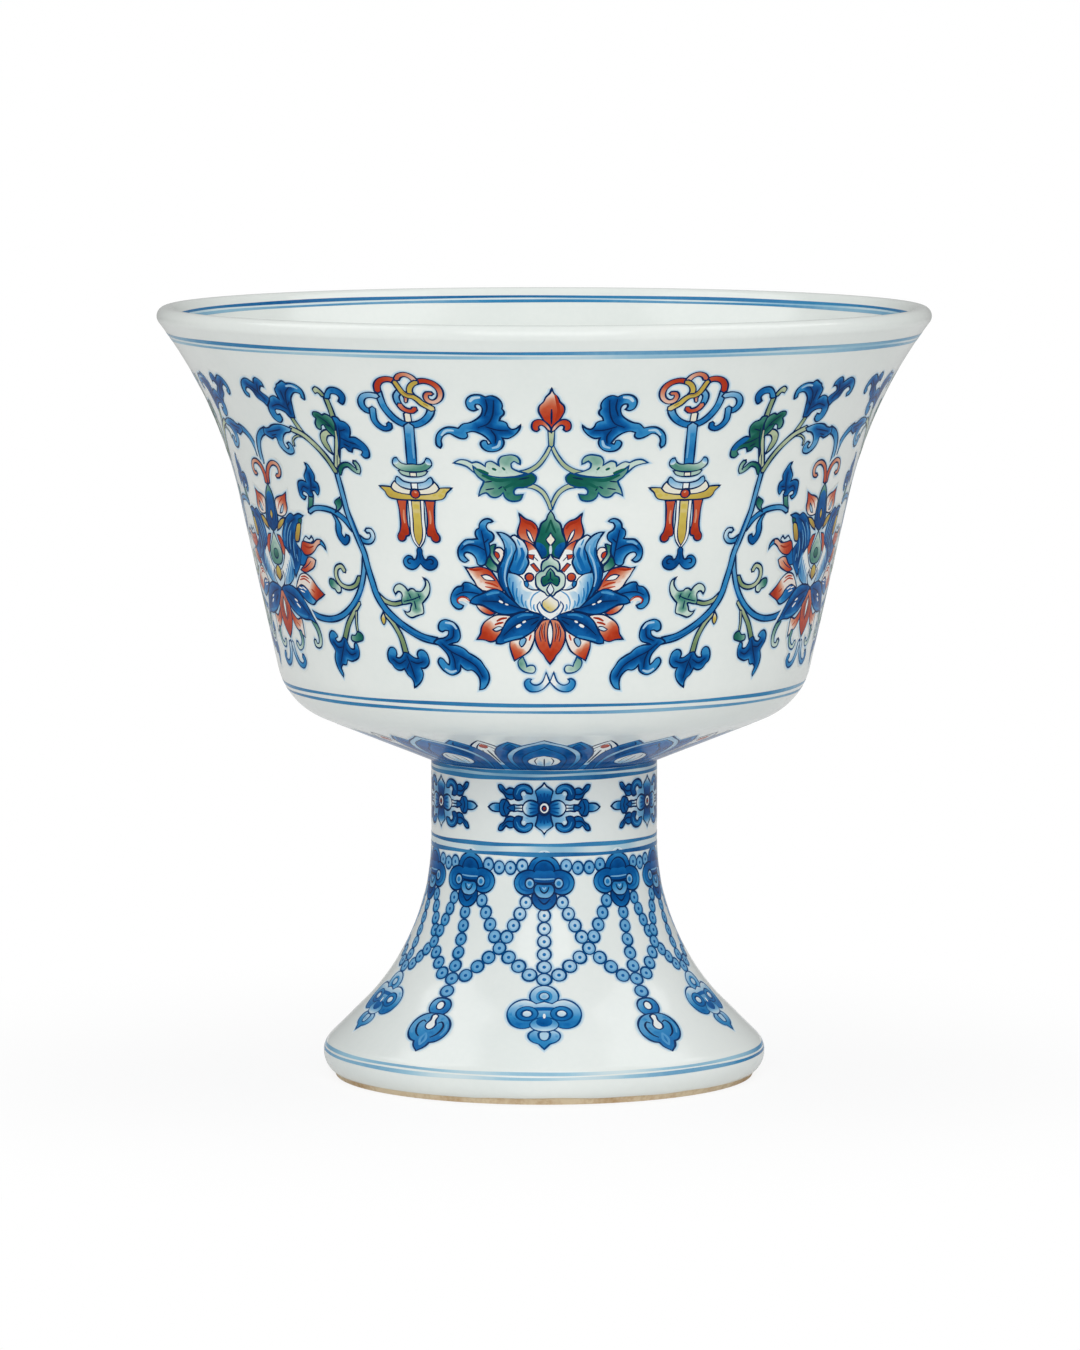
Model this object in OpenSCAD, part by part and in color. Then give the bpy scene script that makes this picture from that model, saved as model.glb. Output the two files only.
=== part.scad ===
// Porcelain stem cup: a deep bowl with a flared lip, luted with slip onto a hollow spreading stem.
// The bodies are thrown and turned separately, and the clear glaze is a coat of its own on each side.
// Origin at the centre of the foot ring, on the surface that the cup stands on. +Z is up, units are mm.

/* [Bowl] */
// Diameter over the rounded lip
rim_d = 148; // [140:1:158]
// Height from the foot ring to the top of the lip
cup_h = 148; // [138:1:158]
// Wall thickness, glaze included; the lip is a full round of this thickness
wall_t = 3.6; // [2.8:0.1:4.6]
// Lean of the straight wall from upright, in degrees
wall_lean = 12.5; // [10:0.5:15]
// Lean of the flared lip from upright, in degrees
flare_lean = 37; // [32:0.5:42]
// Radius of the flare below the lip
flare_r = 86; // [70:1:100]
// Radius of the turn between wall and underside
hip_r = 13; // [9:0.5:17]
// Rise of the underside from level, in degrees
underside_rise = 22; // [18:0.5:26]
// Radius of the turn inside, between wall and floor
well_r = 28; // [20:1:32]
// Thickness of the floor over the stem, glaze included
floor_t = 5.5; // [4.5:0.1:7]

/* [Stem] */
// Diameter of the straight neck
stem_d = 43.4; // [40:0.2:47]
// Height of the join between stem and bowl
stem_h = 61; // [56:0.5:66]
// Wall thickness of the stem, glaze included
stem_wall_t = 4.5; // [3.4:0.1:5.4]
// Radius of the spread from neck to foot
spread_r = 46; // [40:0.5:49]
// Lean of the spreading foot from upright, in degrees
spread_lean = 45.5; // [42:0.5:48]
// Diameter over the rounded foot edge
foot_d = 85; // [82:0.5:90]
// Radius of the rounded foot edge
edge_r = 4.3; // [3.6:0.1:5]
// Height of the centre of the rounded foot edge
edge_z = 4.4; // [4:0.1:5.2]
// How far the foot edge tucks under, in degrees below level
edge_tuck = 50; // [40:1:55]
// Outside diameter of the bare ring that the cup stands on
ring_d = 80.4; // [79:0.2:81.4]
// Width of the bare ring
ring_w = 4.3; // [3.4:0.1:5]

/* [Joint and glaze] */
// Thickness of the clear glaze coat
glaze_t = 0.3; // [0.2:0.05:0.5]
// Thickness of the luting slip between bowl and stem
slip_t = 0.8; // [0.5:0.1:1.2]
// Depth of the boss under the bowl that sits in the stem
boss_h = 3; // [2:0.1:4.5]
// Height inside the foot where the glaze is wiped off
wiped_h = 2; // [1:0.1:3]

/* [Hidden] */
$fn = 180;
// Largest turn between two points of an arc, in degrees
arc_step = 3;

stem_r = stem_d / 2;
foot_r = foot_d / 2;
bore_r = stem_r - stem_wall_t;
ring_out_r = ring_d / 2;
ring_in_r = ring_out_r - ring_w - glaze_t;

function dir(a) = [cos(a), sin(a)];
function steps(a0, a1) = ceil(abs(a1 - a0) / arc_step);
function arc(c, r, a0, a1) = [for (i = [0:steps(a0, a1)]) c + r * dir(a0 + (a1 - a0) * i / steps(a0, a1))];
function reversed(list) = [for (i = [len(list) - 1:-1:0]) list[i]];

// The outside of the bowl runs from the join along the underside, round the hip, up the wall and out along
// the flare to the lip. The straight lengths of underside and wall follow from where its two ends lie.
lip_c = [rim_d / 2 - wall_t / 2, cup_h - wall_t / 2];
flare_end = lip_c + wall_t / 2 * dir(-flare_lean);
hip_turn = hip_r * (dir(-wall_lean) - dir(underside_rise - 90));
flare_turn = flare_r * (dir(-wall_lean) - dir(-flare_lean));
straight = flare_end - [stem_r, stem_h] - hip_turn - flare_turn;
underside_dir = dir(underside_rise);
wall_dir = dir(90 - wall_lean);
underside_len = cross(straight, wall_dir) / cross(underside_dir, wall_dir);
hip_c = [stem_r, stem_h] + underside_len * underside_dir - hip_r * dir(underside_rise - 90);
flare_c = flare_end + flare_r * dir(-flare_lean);

// Height of the inner corner between stem and bowl, d below the glaze surface
function join_z(d) = stem_h + d * cos(underside_rise) - d * (1 - sin(underside_rise)) * tan(underside_rise);
seat_z = join_z(glaze_t);
boss_z = seat_z - boss_h;
floor_z = stem_h + floor_t;

// Centre of the turn inside the bowl, which touches both the floor and the inner wall
wall_offset = hip_c * dir(-wall_lean) + hip_r - wall_t - well_r;
well_z = floor_z + well_r;
well_c = [(wall_offset + sin(wall_lean) * well_z) / cos(wall_lean), well_z];

// Each outline below lies d under the glazed surface, so one list serves the glaze and the body
function bowl_outside(d) = concat(
    [[stem_r - d, join_z(d)]],
    arc(hip_c, hip_r - d, underside_rise - 90, -wall_lean),
    arc(flare_c, -flare_r - d, -wall_lean, -flare_lean));
function lip(d, a0, a1) = arc(lip_c, wall_t / 2 - d, a0, a1);
function bowl_inside(d) = concat(
    arc(flare_c, -flare_r - wall_t + d, -flare_lean, -wall_lean),
    arc(well_c, well_r + d, -wall_lean, -90),
    [[0, floor_z - d]]);
lip_crest = 90;
lip_start = -flare_lean;
lip_end = 180 - flare_lean;

// The outside of the stem runs straight down the neck, out along the spread and round the foot edge.
// The start of the spread follows from where the foot edge lies.
edge_c = [foot_r - edge_r, edge_z];
spread_start = edge_c + edge_r * dir(spread_lean);
spread_turn_r = spread_r * (1 - cos(spread_lean));
spread_fall = spread_r * sin(spread_lean) + (spread_start.x - stem_r - spread_turn_r) / tan(spread_lean);
spread_c = [stem_r + spread_r, spread_start.y + spread_fall];

function stem_outside(d) = concat(
    arc(spread_c, -spread_r - d, 0, spread_lean),
    arc(edge_c, edge_r - d, spread_lean, -edge_tuck));
function ring_top_z(d) = let (p = spread_c - (spread_r + stem_wall_t - d) * dir(spread_lean))
    p.y - (ring_in_r + d - p.x) / tan(spread_lean);
function stem_inside(d) = concat(
    [[ring_in_r + d, ring_top_z(d)]],
    arc(spread_c, -spread_r - stem_wall_t + d, spread_lean, 0));

// The slip fills the gap round the boss as thickly as it fills the seat
boss_r = bore_r + glaze_t - slip_t;

module bowl_body() {
    color("whitesmoke") rotate_extrude() polygon(concat(
        [[0, boss_z], [boss_r, boss_z], [boss_r, seat_z]],
        bowl_outside(glaze_t),
        lip(glaze_t, lip_start, lip_end),
        bowl_inside(glaze_t)));
}

module stem_body() {
    color("antiquewhite") rotate_extrude() polygon(concat(
        [[stem_r - glaze_t, seat_z - slip_t]],
        stem_outside(glaze_t),
        [[ring_out_r, 0], [ring_in_r + glaze_t, 0]],
        stem_inside(glaze_t),
        [[bore_r + glaze_t, seat_z - slip_t]]));
}

module luting_slip() {
    color("tan") rotate_extrude() polygon([
        [boss_r, boss_z], [bore_r + glaze_t, boss_z], [bore_r + glaze_t, seat_z - slip_t],
        [stem_r - glaze_t, seat_z - slip_t], [stem_r - glaze_t, seat_z], [boss_r, seat_z]]);
}

module bowl_outside_glaze() {
    color("aliceblue") rotate_extrude() polygon(concat(
        bowl_outside(0), lip(0, lip_start, lip_crest),
        reversed(concat(bowl_outside(glaze_t), lip(glaze_t, lip_start, lip_crest)))));
}

module bowl_inside_glaze() {
    color("azure") rotate_extrude() polygon(concat(
        lip(0, lip_crest, lip_end), bowl_inside(0),
        reversed(concat(lip(glaze_t, lip_crest, lip_end), bowl_inside(glaze_t)))));
}

module stem_outside_glaze() {
    color("aliceblue") rotate_extrude() polygon(concat(
        [[stem_r, stem_h]], stem_outside(0),
        reversed(concat([[stem_r - glaze_t, seat_z]], stem_outside(glaze_t)))));
}

module stem_inside_glaze() {
    color("azure") rotate_extrude() polygon(concat(
        [[ring_in_r, wiped_h]], stem_inside(0),
        [[bore_r, boss_z - glaze_t], [0, boss_z - glaze_t], [0, boss_z], [bore_r + glaze_t, boss_z]],
        reversed(concat([[ring_in_r + glaze_t, wiped_h]], stem_inside(glaze_t)))));
}

bowl_body();
stem_body();
luting_slip();
bowl_outside_glaze();
bowl_inside_glaze();
stem_outside_glaze();
stem_inside_glaze();
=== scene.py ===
import math

import bpy
import numpy as np
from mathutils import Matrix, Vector
from mathutils.geometry import delaunay_2d_cdt
from mathutils.kdtree import KDTree


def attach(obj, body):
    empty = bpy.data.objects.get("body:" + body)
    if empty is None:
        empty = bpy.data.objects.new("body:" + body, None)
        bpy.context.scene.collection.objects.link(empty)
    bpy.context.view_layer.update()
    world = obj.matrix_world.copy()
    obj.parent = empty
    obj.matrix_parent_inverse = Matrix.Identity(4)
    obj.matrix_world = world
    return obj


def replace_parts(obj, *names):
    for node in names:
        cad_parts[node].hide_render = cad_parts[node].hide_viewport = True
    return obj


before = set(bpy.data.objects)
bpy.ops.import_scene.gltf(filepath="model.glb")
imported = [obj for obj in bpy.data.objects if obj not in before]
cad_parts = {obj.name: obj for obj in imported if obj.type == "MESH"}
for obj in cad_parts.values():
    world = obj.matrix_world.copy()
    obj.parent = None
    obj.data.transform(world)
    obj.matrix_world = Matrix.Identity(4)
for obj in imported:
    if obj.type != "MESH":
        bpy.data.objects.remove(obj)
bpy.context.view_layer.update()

mm = 0.001
close = 1e-6  # points less than this many mm apart are one

# Sizes of the turned shape in mm, the same as in the solids
cup = dict(rimD=148, cupH=148, wallT=3.6, wallLean=12.5, flareLean=37, flareR=86, hipR=13, undersideRise=22,
           wellR=28, floorT=5.5, stemD=43.4, stemH=61, stemWallT=4.5, spreadR=46, spreadLean=45.5, footD=85,
           edgeR=4.3, edgeZ=4.4, edgeTuck=50, ringD=80.4, ringW=4.3, glazeT=0.3, bossH=3, wipedH=2)
turning = dict(segments=288, rowStep=1.1, arcStep=5, places=6)  # how finely the glaze is turned


def heading(degrees):
    return np.array([math.cos(math.radians(degrees)), math.sin(math.radians(degrees))])


def arcRun(centre, radius, a0, a1, face=1):
    reach = abs(radius * math.radians(a1 - a0))
    count = 1 + max(2, math.ceil(reach / turning["rowStep"]), math.ceil(abs(a1 - a0) / turning["arcStep"]))
    a = np.radians(np.linspace(a0, a1, count))
    out = np.stack([np.cos(a), np.sin(a)], 1)
    return centre + radius * out, face * out


def lineRun(p, q, normal):
    count = 1 + max(1, math.ceil(np.hypot(*(q - p)) / turning["rowStep"]))
    return np.linspace(p, q, count), np.tile(normal, (count, 1))


# One stretch of the turned outline: points (radius, height), outward normals and the length climbed along it
class Outline:
    def __init__(self, runs, start=0.0):
        points = np.concatenate([r[0] for r in runs])
        normals = np.concatenate([r[1] for r in runs])
        fresh = np.ones(len(points), bool)
        fresh[1:] = np.hypot(*np.diff(points, axis=0).T) > close
        self.points = points[fresh]
        self.normals = normals[fresh]
        steps = np.hypot(*np.diff(self.points, axis=0).T)
        self.climb = start + np.concatenate([[0], np.cumsum(steps)])

    def at(self, climb):
        columns = (*self.points.T, *self.normals.T)
        r, z, nr, nz = (np.interp(climb, self.climb, c) for c in columns)
        size = np.hypot(nr, nz)
        return r, z, nr / size, nz / size


def cupOutlines(c):
    stemR = c["stemD"] / 2
    halfWall = c["wallT"] / 2
    lean, flare, rise, spread = c["wallLean"], c["flareLean"], c["undersideRise"], c["spreadLean"]
    join = np.array([stemR, c["stemH"]])
    lipC = np.array([c["rimD"] / 2 - halfWall, c["cupH"] - halfWall])
    flareEnd = lipC + halfWall * heading(-flare)
    hipTurn = c["hipR"] * (heading(-lean) - heading(rise - 90))
    flareTurn = c["flareR"] * (heading(-lean) - heading(-flare))
    straight = flareEnd - join - hipTurn - flareTurn
    undersideLen = np.linalg.solve(np.stack([heading(rise), heading(90 - lean)], 1), straight)[0]
    hipC = join + undersideLen * heading(rise) - c["hipR"] * heading(rise - 90)
    flareC = flareEnd + c["flareR"] * heading(-flare)
    floorZ = c["stemH"] + c["floorT"]
    wellZ = floorZ + c["wellR"]
    wallOffset = hipC @ heading(-lean) + c["hipR"] - c["wallT"] - c["wellR"]
    slope = math.radians(lean)
    wellC = np.array([(wallOffset + math.sin(slope) * wellZ) / math.cos(slope), wellZ])
    edgeC = np.array([c["footD"] / 2 - c["edgeR"], c["edgeZ"]])
    edgeTop = edgeC + c["edgeR"] * heading(spread)
    tilt = math.radians(spread)
    turnR = c["spreadR"] * (1 - math.cos(tilt))
    fall = c["spreadR"] * math.sin(tilt) + (edgeTop[0] - stemR - turnR) / math.tan(tilt)
    spreadC = np.array([stemR + c["spreadR"], edgeTop[1] + fall])

    edgeRun = arcRun(edgeC, c["edgeR"], -c["edgeTuck"], spread)
    spreadRun = arcRun(spreadC, -c["spreadR"], spread, 0)
    slopeRun = lineRun(edgeRun[0][-1], spreadRun[0][0], heading(spread))
    neckRun = lineRun(spreadRun[0][-1], join, heading(0))
    stemOut = Outline([edgeRun, slopeRun, spreadRun, neckRun], bareBand)

    hipRun = arcRun(hipC, c["hipR"], rise - 90, -lean)
    flareRun = arcRun(flareC, -c["flareR"], -lean, -flare)
    lipRun = arcRun(lipC, halfWall, -flare, 90)
    bowlOut = Outline([lineRun(join, hipRun[0][0], heading(rise - 90)), hipRun,
                       lineRun(hipRun[0][-1], flareRun[0][0], heading(-lean)), flareRun, lipRun],
                      stemOut.climb[-1])

    innerFlare = arcRun(flareC, -c["flareR"] - c["wallT"], -flare, -lean, -1)
    wellRun = arcRun(wellC, c["wellR"], -lean, -90, -1)
    floorEnd = np.array([0, floorZ])
    bowlIn = Outline([arcRun(lipC, halfWall, 90, 180 - flare), innerFlare,
                      lineRun(innerFlare[0][-1], wellRun[0][0], -heading(-lean)), wellRun,
                      lineRun(wellRun[0][-1], floorEnd, np.array([0, 1]))])

    boreR = stemR - c["stemWallT"]
    ringIn = c["ringD"] / 2 - c["ringW"] - c["glazeT"]
    innerSpread = arcRun(spreadC, -c["spreadR"] - c["stemWallT"], 0, spread, -1)
    foot = innerSpread[0][-1]
    ringTop = np.array([ringIn, foot[1] - (ringIn - foot[0]) / math.tan(tilt)])
    boreTop = np.array([boreR, c["stemH"] - c["bossH"] - c["glazeT"]])
    stemIn = Outline([lineRun(np.array([0, boreTop[1]]), boreTop, np.array([0, -1])),
                      lineRun(boreTop, innerSpread[0][0], -heading(0)), innerSpread,
                      lineRun(foot, ringTop, -heading(spread)),
                      lineRun(ringTop, np.array([ringIn, c["wipedH"]]), -heading(0))])
    return dict(stemOut=stemOut, bowlOut=bowlOut, bowlIn=bowlIn, stemIn=stemIn)


bareBand = 1.4  # mm of bare foot edge below the glaze
outlines = cupOutlines(cup)
print("turned outlines ready, climb to the lip", round(float(outlines["bowlOut"].climb[-1]), 1))


# A socket that can be used in sums
class Wire:
    def __init__(self, tree, socket=None):
        self.tree = tree
        self.socket = socket

    def plug(self, target, value):
        if isinstance(value, Wire):
            self.tree.links.new(value.socket, target)
        else:
            target.default_value = value

    def node(self, kind, settings=None, sockets=None, output=0):
        made = self.tree.nodes.new(kind)
        for key, value in (settings or {}).items():
            if key == "stops":
                ramp = made.color_ramp.elements
                while len(ramp) < len(value):
                    ramp.new(0.5)
                for stop, (place, colour) in zip(ramp, value):
                    stop.position = place
                    stop.color = (*colour, 1)
            else:
                setattr(made, key, value)
        for key, value in (sockets or {}).items():
            self.plug(made.inputs[key], value)
        return Wire(self.tree, made.outputs[output])

    def sum(self, operation, a, b):
        return self.node("ShaderNodeMath", {"operation": operation}, {0: a, 1: b})

    def __add__(self, other):
        return self.sum("ADD", self, other)

    def __radd__(self, other):
        return self.sum("ADD", other, self)

    def __sub__(self, other):
        return self.sum("SUBTRACT", self, other)

    def __rsub__(self, other):
        return self.sum("SUBTRACT", other, self)

    def __mul__(self, other):
        return self.sum("MULTIPLY", self, other)

    def __rmul__(self, other):
        return self.sum("MULTIPLY", other, self)


def newMaterial(name):
    material = bpy.data.materials.new(name)
    material.use_nodes = True
    tree = material.node_tree
    shader = tree.nodes["Principled BSDF"]
    return material, Wire(tree), shader


def noise(w, scale, detail=2.0, rough=0.5):
    place = w.node("ShaderNodeTexCoord", output="Object")
    return w.node("ShaderNodeTexNoise", None,
                  {"Vector": place, "Scale": scale, "Detail": detail, "Roughness": rough})


def mixed(one, other, share):
    return one * share + other * (1 - share)


def colourRun(w, stops, tone):
    return w.node("ShaderNodeValToRGB", {"stops": stops}, {0: tone})


def bump(w, height, strength, depth):
    return w.node("ShaderNodeBump", None, {"Height": height, "Strength": strength, "Distance": depth * mm})


# Scales of noise are in features per metre, depths in mm
glazeLook = dict(stops=((0.3, (0.735, 0.778, 0.752)), (0.62, (0.79, 0.824, 0.796))), cloud=38, speck=900,
                 cloudShare=0.8, gloss=0.13, haze=0.05, hazeScale=160, shine=0.35, ripple=0.05,
                 rippleScale=130, rippleDepth=0.4)


def glazeMaterial():
    look = glazeLook
    material, w, shader = newMaterial("clearGlaze")
    tone = mixed(noise(w, look["cloud"], detail=3), noise(w, look["speck"]), look["cloudShare"])
    w.plug(shader.inputs["Base Color"], colourRun(w, look["stops"], tone))
    w.plug(shader.inputs["Roughness"], look["gloss"] + look["haze"] * noise(w, look["hazeScale"]))
    w.plug(shader.inputs["Specular IOR Level"], look["shine"])
    ripple = noise(w, look["rippleScale"])
    w.plug(shader.inputs["Normal"], bump(w, ripple, look["ripple"], look["rippleDepth"]))
    return material


# The stops run from burnt to pale
biscuitLook = dict(stops=((0.36, (0.50, 0.32, 0.16)), (0.56, (0.72, 0.60, 0.42))), blotch=90, grain=1500,
                   blotchShare=0.75, rough=0.7, grainRough=0.2, dent=0.5, dentDepth=0.15)


def biscuitMaterial():
    look = biscuitLook
    material, w, shader = newMaterial("bareBiscuit")
    blotch = noise(w, look["blotch"], detail=4, rough=0.6)
    grain = noise(w, look["grain"], detail=3)
    tone = mixed(blotch, grain, look["blotchShare"])
    w.plug(shader.inputs["Base Color"], colourRun(w, look["stops"], tone))
    w.plug(shader.inputs["Roughness"], look["rough"] + look["grainRough"] * grain)
    w.plug(shader.inputs["Normal"], bump(w, grain, look["dent"], look["dentDepth"]))
    return material


# Each pigment runs from full strength, at tone 0, to a wash so thin that the glaze shows; lifts in mm
pigments = {
    "line": dict(stops=[(0, (0.002, 0.008, 0.035)), (0.5, (0.003, 0.024, 0.10)), (1, (0.004, 0.09, 0.28))],
                 mottle=0.5, gloss=0.1, shine=0.03, lift=0.03),
    "cobalt": dict(stops=[(0, (0.001, 0.030, 0.125)), (0.25, (0.002, 0.070, 0.255)),
                          (0.45, (0.006, 0.128, 0.38)), (0.65, (0.034, 0.24, 0.505)),
                          (0.82, (0.185, 0.415, 0.635)), (0.93, (0.46, 0.625, 0.735)),
                          (1, (0.765, 0.795, 0.78))],
                   mottle=0.4, gloss=0.12, shine=0.03, lift=0.03),
    "ring": dict(stops=[(0, (0.004, 0.08, 0.26)), (0.5, (0.045, 0.235, 0.45)), (0.85, (0.32, 0.53, 0.65)),
                        (1, (0.63, 0.73, 0.745))],
                 mottle=0.4, gloss=0.1, shine=0.05, lift=0.03),
    "red": dict(stops=[(0, (0.22, 0.014, 0.004)), (0.3, (0.43, 0.038, 0.010)), (0.55, (0.50, 0.088, 0.036)),
                       (0.75, (0.60, 0.24, 0.14)), (0.9, (0.70, 0.46, 0.36)), (1, (0.77, 0.70, 0.64))],
                mottle=0.3, gloss=0.16, shine=0.08, lift=0.05),
    "green": dict(stops=[(0, (0.002, 0.045, 0.034)), (0.3, (0.004, 0.11, 0.08)), (0.55, (0.045, 0.21, 0.16)),
                         (0.8, (0.22, 0.40, 0.33)), (1, (0.52, 0.65, 0.58))],
                  mottle=0.3, gloss=0.14, shine=0.08, lift=0.05),
    "olive": dict(stops=[(0, (0.02, 0.09, 0.04)), (0.4, (0.07, 0.16, 0.07)), (0.75, (0.20, 0.29, 0.14)),
                         (1, (0.43, 0.51, 0.34))],
                  mottle=0.3, gloss=0.14, shine=0.08, lift=0.05),
    "yellow": dict(stops=[(0, (0.26, 0.14, 0.035)), (0.35, (0.44, 0.30, 0.05)), (0.75, (0.57, 0.45, 0.09)),
                          (1, (0.75, 0.73, 0.62))],
                   mottle=0.2, gloss=0.14, shine=0.1, lift=0.05),
}


# How pigment settles: it heaps up in strong washes and no longer shows heaps at the tone clear
settling = dict(heap=520, streak=1400, heapShare=0.75, middle=0.5, clear=1.05, haze=0.06)


def pigmentMaterial(name, look):
    material, w, shader = newMaterial(name + "Pigment")
    wash = w.node("ShaderNodeAttribute", {"attribute_name": "wash"}, output="Fac")
    heap = noise(w, settling["heap"], detail=3, rough=0.6)
    streak = noise(w, settling["streak"], detail=1)
    uneven = mixed(heap, streak, settling["heapShare"]) - settling["middle"]
    tone = wash + uneven * (look["mottle"] * (settling["clear"] - wash))
    w.plug(shader.inputs["Base Color"], colourRun(w, look["stops"], tone))
    w.plug(shader.inputs["Roughness"], look["gloss"] + settling["haze"] * heap)
    w.plug(shader.inputs["Specular IOR Level"], look["shine"])
    return material


def addPiece(name, mesh, material):
    piece = bpy.data.objects.new(name, mesh)
    bpy.context.collection.objects.link(piece)
    mesh.materials.append(material)
    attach(piece, "root")
    return piece


# The first of all points that are the same to so many decimal places, and which of those each point is
def meeting(points, places):
    _, first, same = np.unique(np.round(points, places) + 0.0, axis=0, return_index=True, return_inverse=True)
    return first, same.ravel()


# Waves round the cup, each with its size, how often it turns and its phase
def waves(theta, rows, step=1):
    return sum(size * np.sin(turns * theta + phase * step) for size, turns, phase in rows)


# Turn an outline into a closed coat of even thickness; with an edge, the start of the outline waves
def turnedCoat(name, outline, thickness, edge=None):
    count = turning["segments"]
    theta = np.arange(count) * 2 * math.pi / count
    climb = np.repeat(outline.climb[:, None], count, 1)
    if edge:
        fade = np.clip(1 - (climb - climb[0]) / edge["fade"], 0, 1)
        climb = climb + fade * waves(theta, edge["waves"])[None, :]
    r, z, nr, nz = outline.at(climb)
    layers = []
    normals = []
    for depth, face in ((0, 1), (thickness, -1)):
        rr = np.maximum(r - depth * nr, 0)
        zz = z - depth * nz
        layers.append(np.stack([rr * np.sin(theta), -rr * np.cos(theta), zz], -1))
        normals.append(face * np.stack([nr * np.sin(theta), -nr * np.cos(theta), nz], -1))
    rows = len(outline.climb)
    index = np.arange(2 * rows * count).reshape(2, rows, count)
    ring = np.concatenate([index[0], index[1][::-1], index[0][:1]])
    a, b = ring[:-1], ring[1:]
    quads = np.stack([a, np.roll(a, -1, 1), np.roll(b, -1, 1), b], -1).reshape(-1, 4)
    points, normals = (np.concatenate(sides).reshape(-1, 3) for sides in (layers, normals))
    # points that meet on the axis or at the lower edge become one
    first, same = meeting(points, turning["places"])
    faces = [list(dict.fromkeys(quad)) for quad in same[quads].tolist()]
    faces = [face for face in faces if len(face) > 2]
    mesh = bpy.data.meshes.new(name)
    mesh.from_pydata(points[first] * mm, [], faces)
    mesh.polygons.foreach_set("use_smooth", np.ones(len(faces), bool))
    mesh.normals_split_custom_set_from_vertices(normals[first])
    return mesh


glazeEdge = dict(fade=2.2, waves=((0.3, 3, 1), (0.16, 7, 2), (0.1, 19, 0)))  # uneven edge above the foot ring


def addGlaze():
    glaze = glazeMaterial()
    coats = (("stemOuterGlaze", "stemOut", "stem_outside_glaze", "painted_glaze", glazeEdge),
             ("bowlOuterGlaze", "bowlOut", "bowl_outside_glaze", "painted_glaze", None),
             ("bowlInnerGlaze", "bowlIn", "bowl_inside_glaze", "glaze", None),
             ("stemInnerGlaze", "stemIn", "stem_inside_glaze", "glaze", None))
    for name, key, node, slot, edge in coats:
        mesh = turnedCoat(name, outlines[key], cup["glazeT"], edge)
        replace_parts(addPiece(name, mesh, glaze), node)
    biscuit = biscuitMaterial()
    for node in ("bowl_body", "stem_body", "luting_slip"):
        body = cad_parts[node]
        body.data.materials.clear()
        body.data.materials.append(biscuit)
    print("glaze coats turned")


# How drawings are brushed and cut: lengths in mm, tones, and shares of a width
brush = dict(step=0.38, discLeast=10, discPerMm=14, mitre=0.6, tip=0.8, sway=0.22, swayStep=0.37,
             strokeEnd=0.35, strokeBlunt=0.04, rim=0.1, grid=1.15, gridRow=0.87, gridClear=0.32, bleed=0.5,
             bleedTone=(0.9, 1.01), vein=0.28, veinReach=1.3, weld=1e-4, places=4)
tiny = 1e-9


# Listed points "x,y x,y! x,y" in mm, where ! marks a sharp corner
def readPoints(text):
    marks = text.split()
    points = [[float(v) for v in m.rstrip("!").split(",")] for m in marks]
    return np.array(points), np.array([m.endswith("!") for m in marks])


def lengths(ways):
    return np.maximum(np.hypot(*ways.T), tiny)[:, None]


# A smooth line through the points, with breaks at the sharp ones
def smoothLine(points, sharp, closed):
    n = len(points)
    last = n if closed else n - 1
    ahead = np.roll(points, -1, 0) - points
    reach = lengths(ahead)
    unit = ahead / reach
    out = []
    for i in range(last):
        j = (i + 1) % n
        before = i - 1
        h = reach[i]
        m0 = unit[i]
        if not sharp[i] and (closed or i > 0):
            m0 = (unit[before] * h + unit[i] * reach[before]) / (h + reach[before])
        m1 = unit[i]
        if not sharp[j] and (closed or j < n - 1):
            m1 = (unit[i] * reach[j] + unit[j] * h) / (h + reach[j])
        count = max(2, math.ceil(h[0] / brush["step"]))
        t = (np.arange(count) / count)[:, None]
        out.append((2 * t**3 - 3 * t**2 + 1) * points[i] + (t**3 - 2 * t**2 + t) * h * m0
                   + (3 * t**2 - 2 * t**3) * points[j] + (t**3 - t**2) * h * m1)
    if not closed:
        out.append(points[-1:])
    return np.concatenate(out)


def anticlockwise(loop):
    x, y = loop.T
    area = np.sum(x * np.roll(y, -1) - np.roll(x, -1) * y)
    return loop if area > 0 else loop[::-1]


# The line moved sideways, to its right
def besides(line, distance, closed):
    ahead = np.roll(line, -1, 0) - line
    if not closed:
        ahead[-1] = ahead[-2]
    ahead /= lengths(ahead)
    behind = np.roll(ahead, 1, 0)
    if not closed:
        behind[0] = ahead[0]
    n0 = np.stack([behind[:, 1], -behind[:, 0]], 1)
    n1 = np.stack([ahead[:, 1], -ahead[:, 0]], 1)
    side = n0 + n1
    side /= lengths(side)
    mitre = np.maximum(np.sum(side * n1, 1), brush["mitre"])
    return line + side * (distance / mitre)[:, None]


def ribbonLoop(line, w0, w1):
    t = np.linspace(0, 1, len(line))
    half = (w0 + (w1 - w0) * t) / 2
    right = besides(line, half, False)
    left = besides(line, -half, False)
    ways = np.stack([line[0] - line[1], line[-1] - line[-2]])
    tips = line[[0, -1]] + ways / lengths(ways) * half[[0, -1], None] * brush["tip"]
    return anticlockwise(np.concatenate([tips[:1], right, tips[1:], left[::-1]]))


def circleLoop(x, y, radius):
    count = max(brush["discLeast"], int(radius * brush["discPerMm"]))
    a = np.linspace(0, 2 * math.pi, count, endpoint=False)
    return np.stack([x + radius * np.cos(a), y + radius * np.sin(a)], 1)


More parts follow.
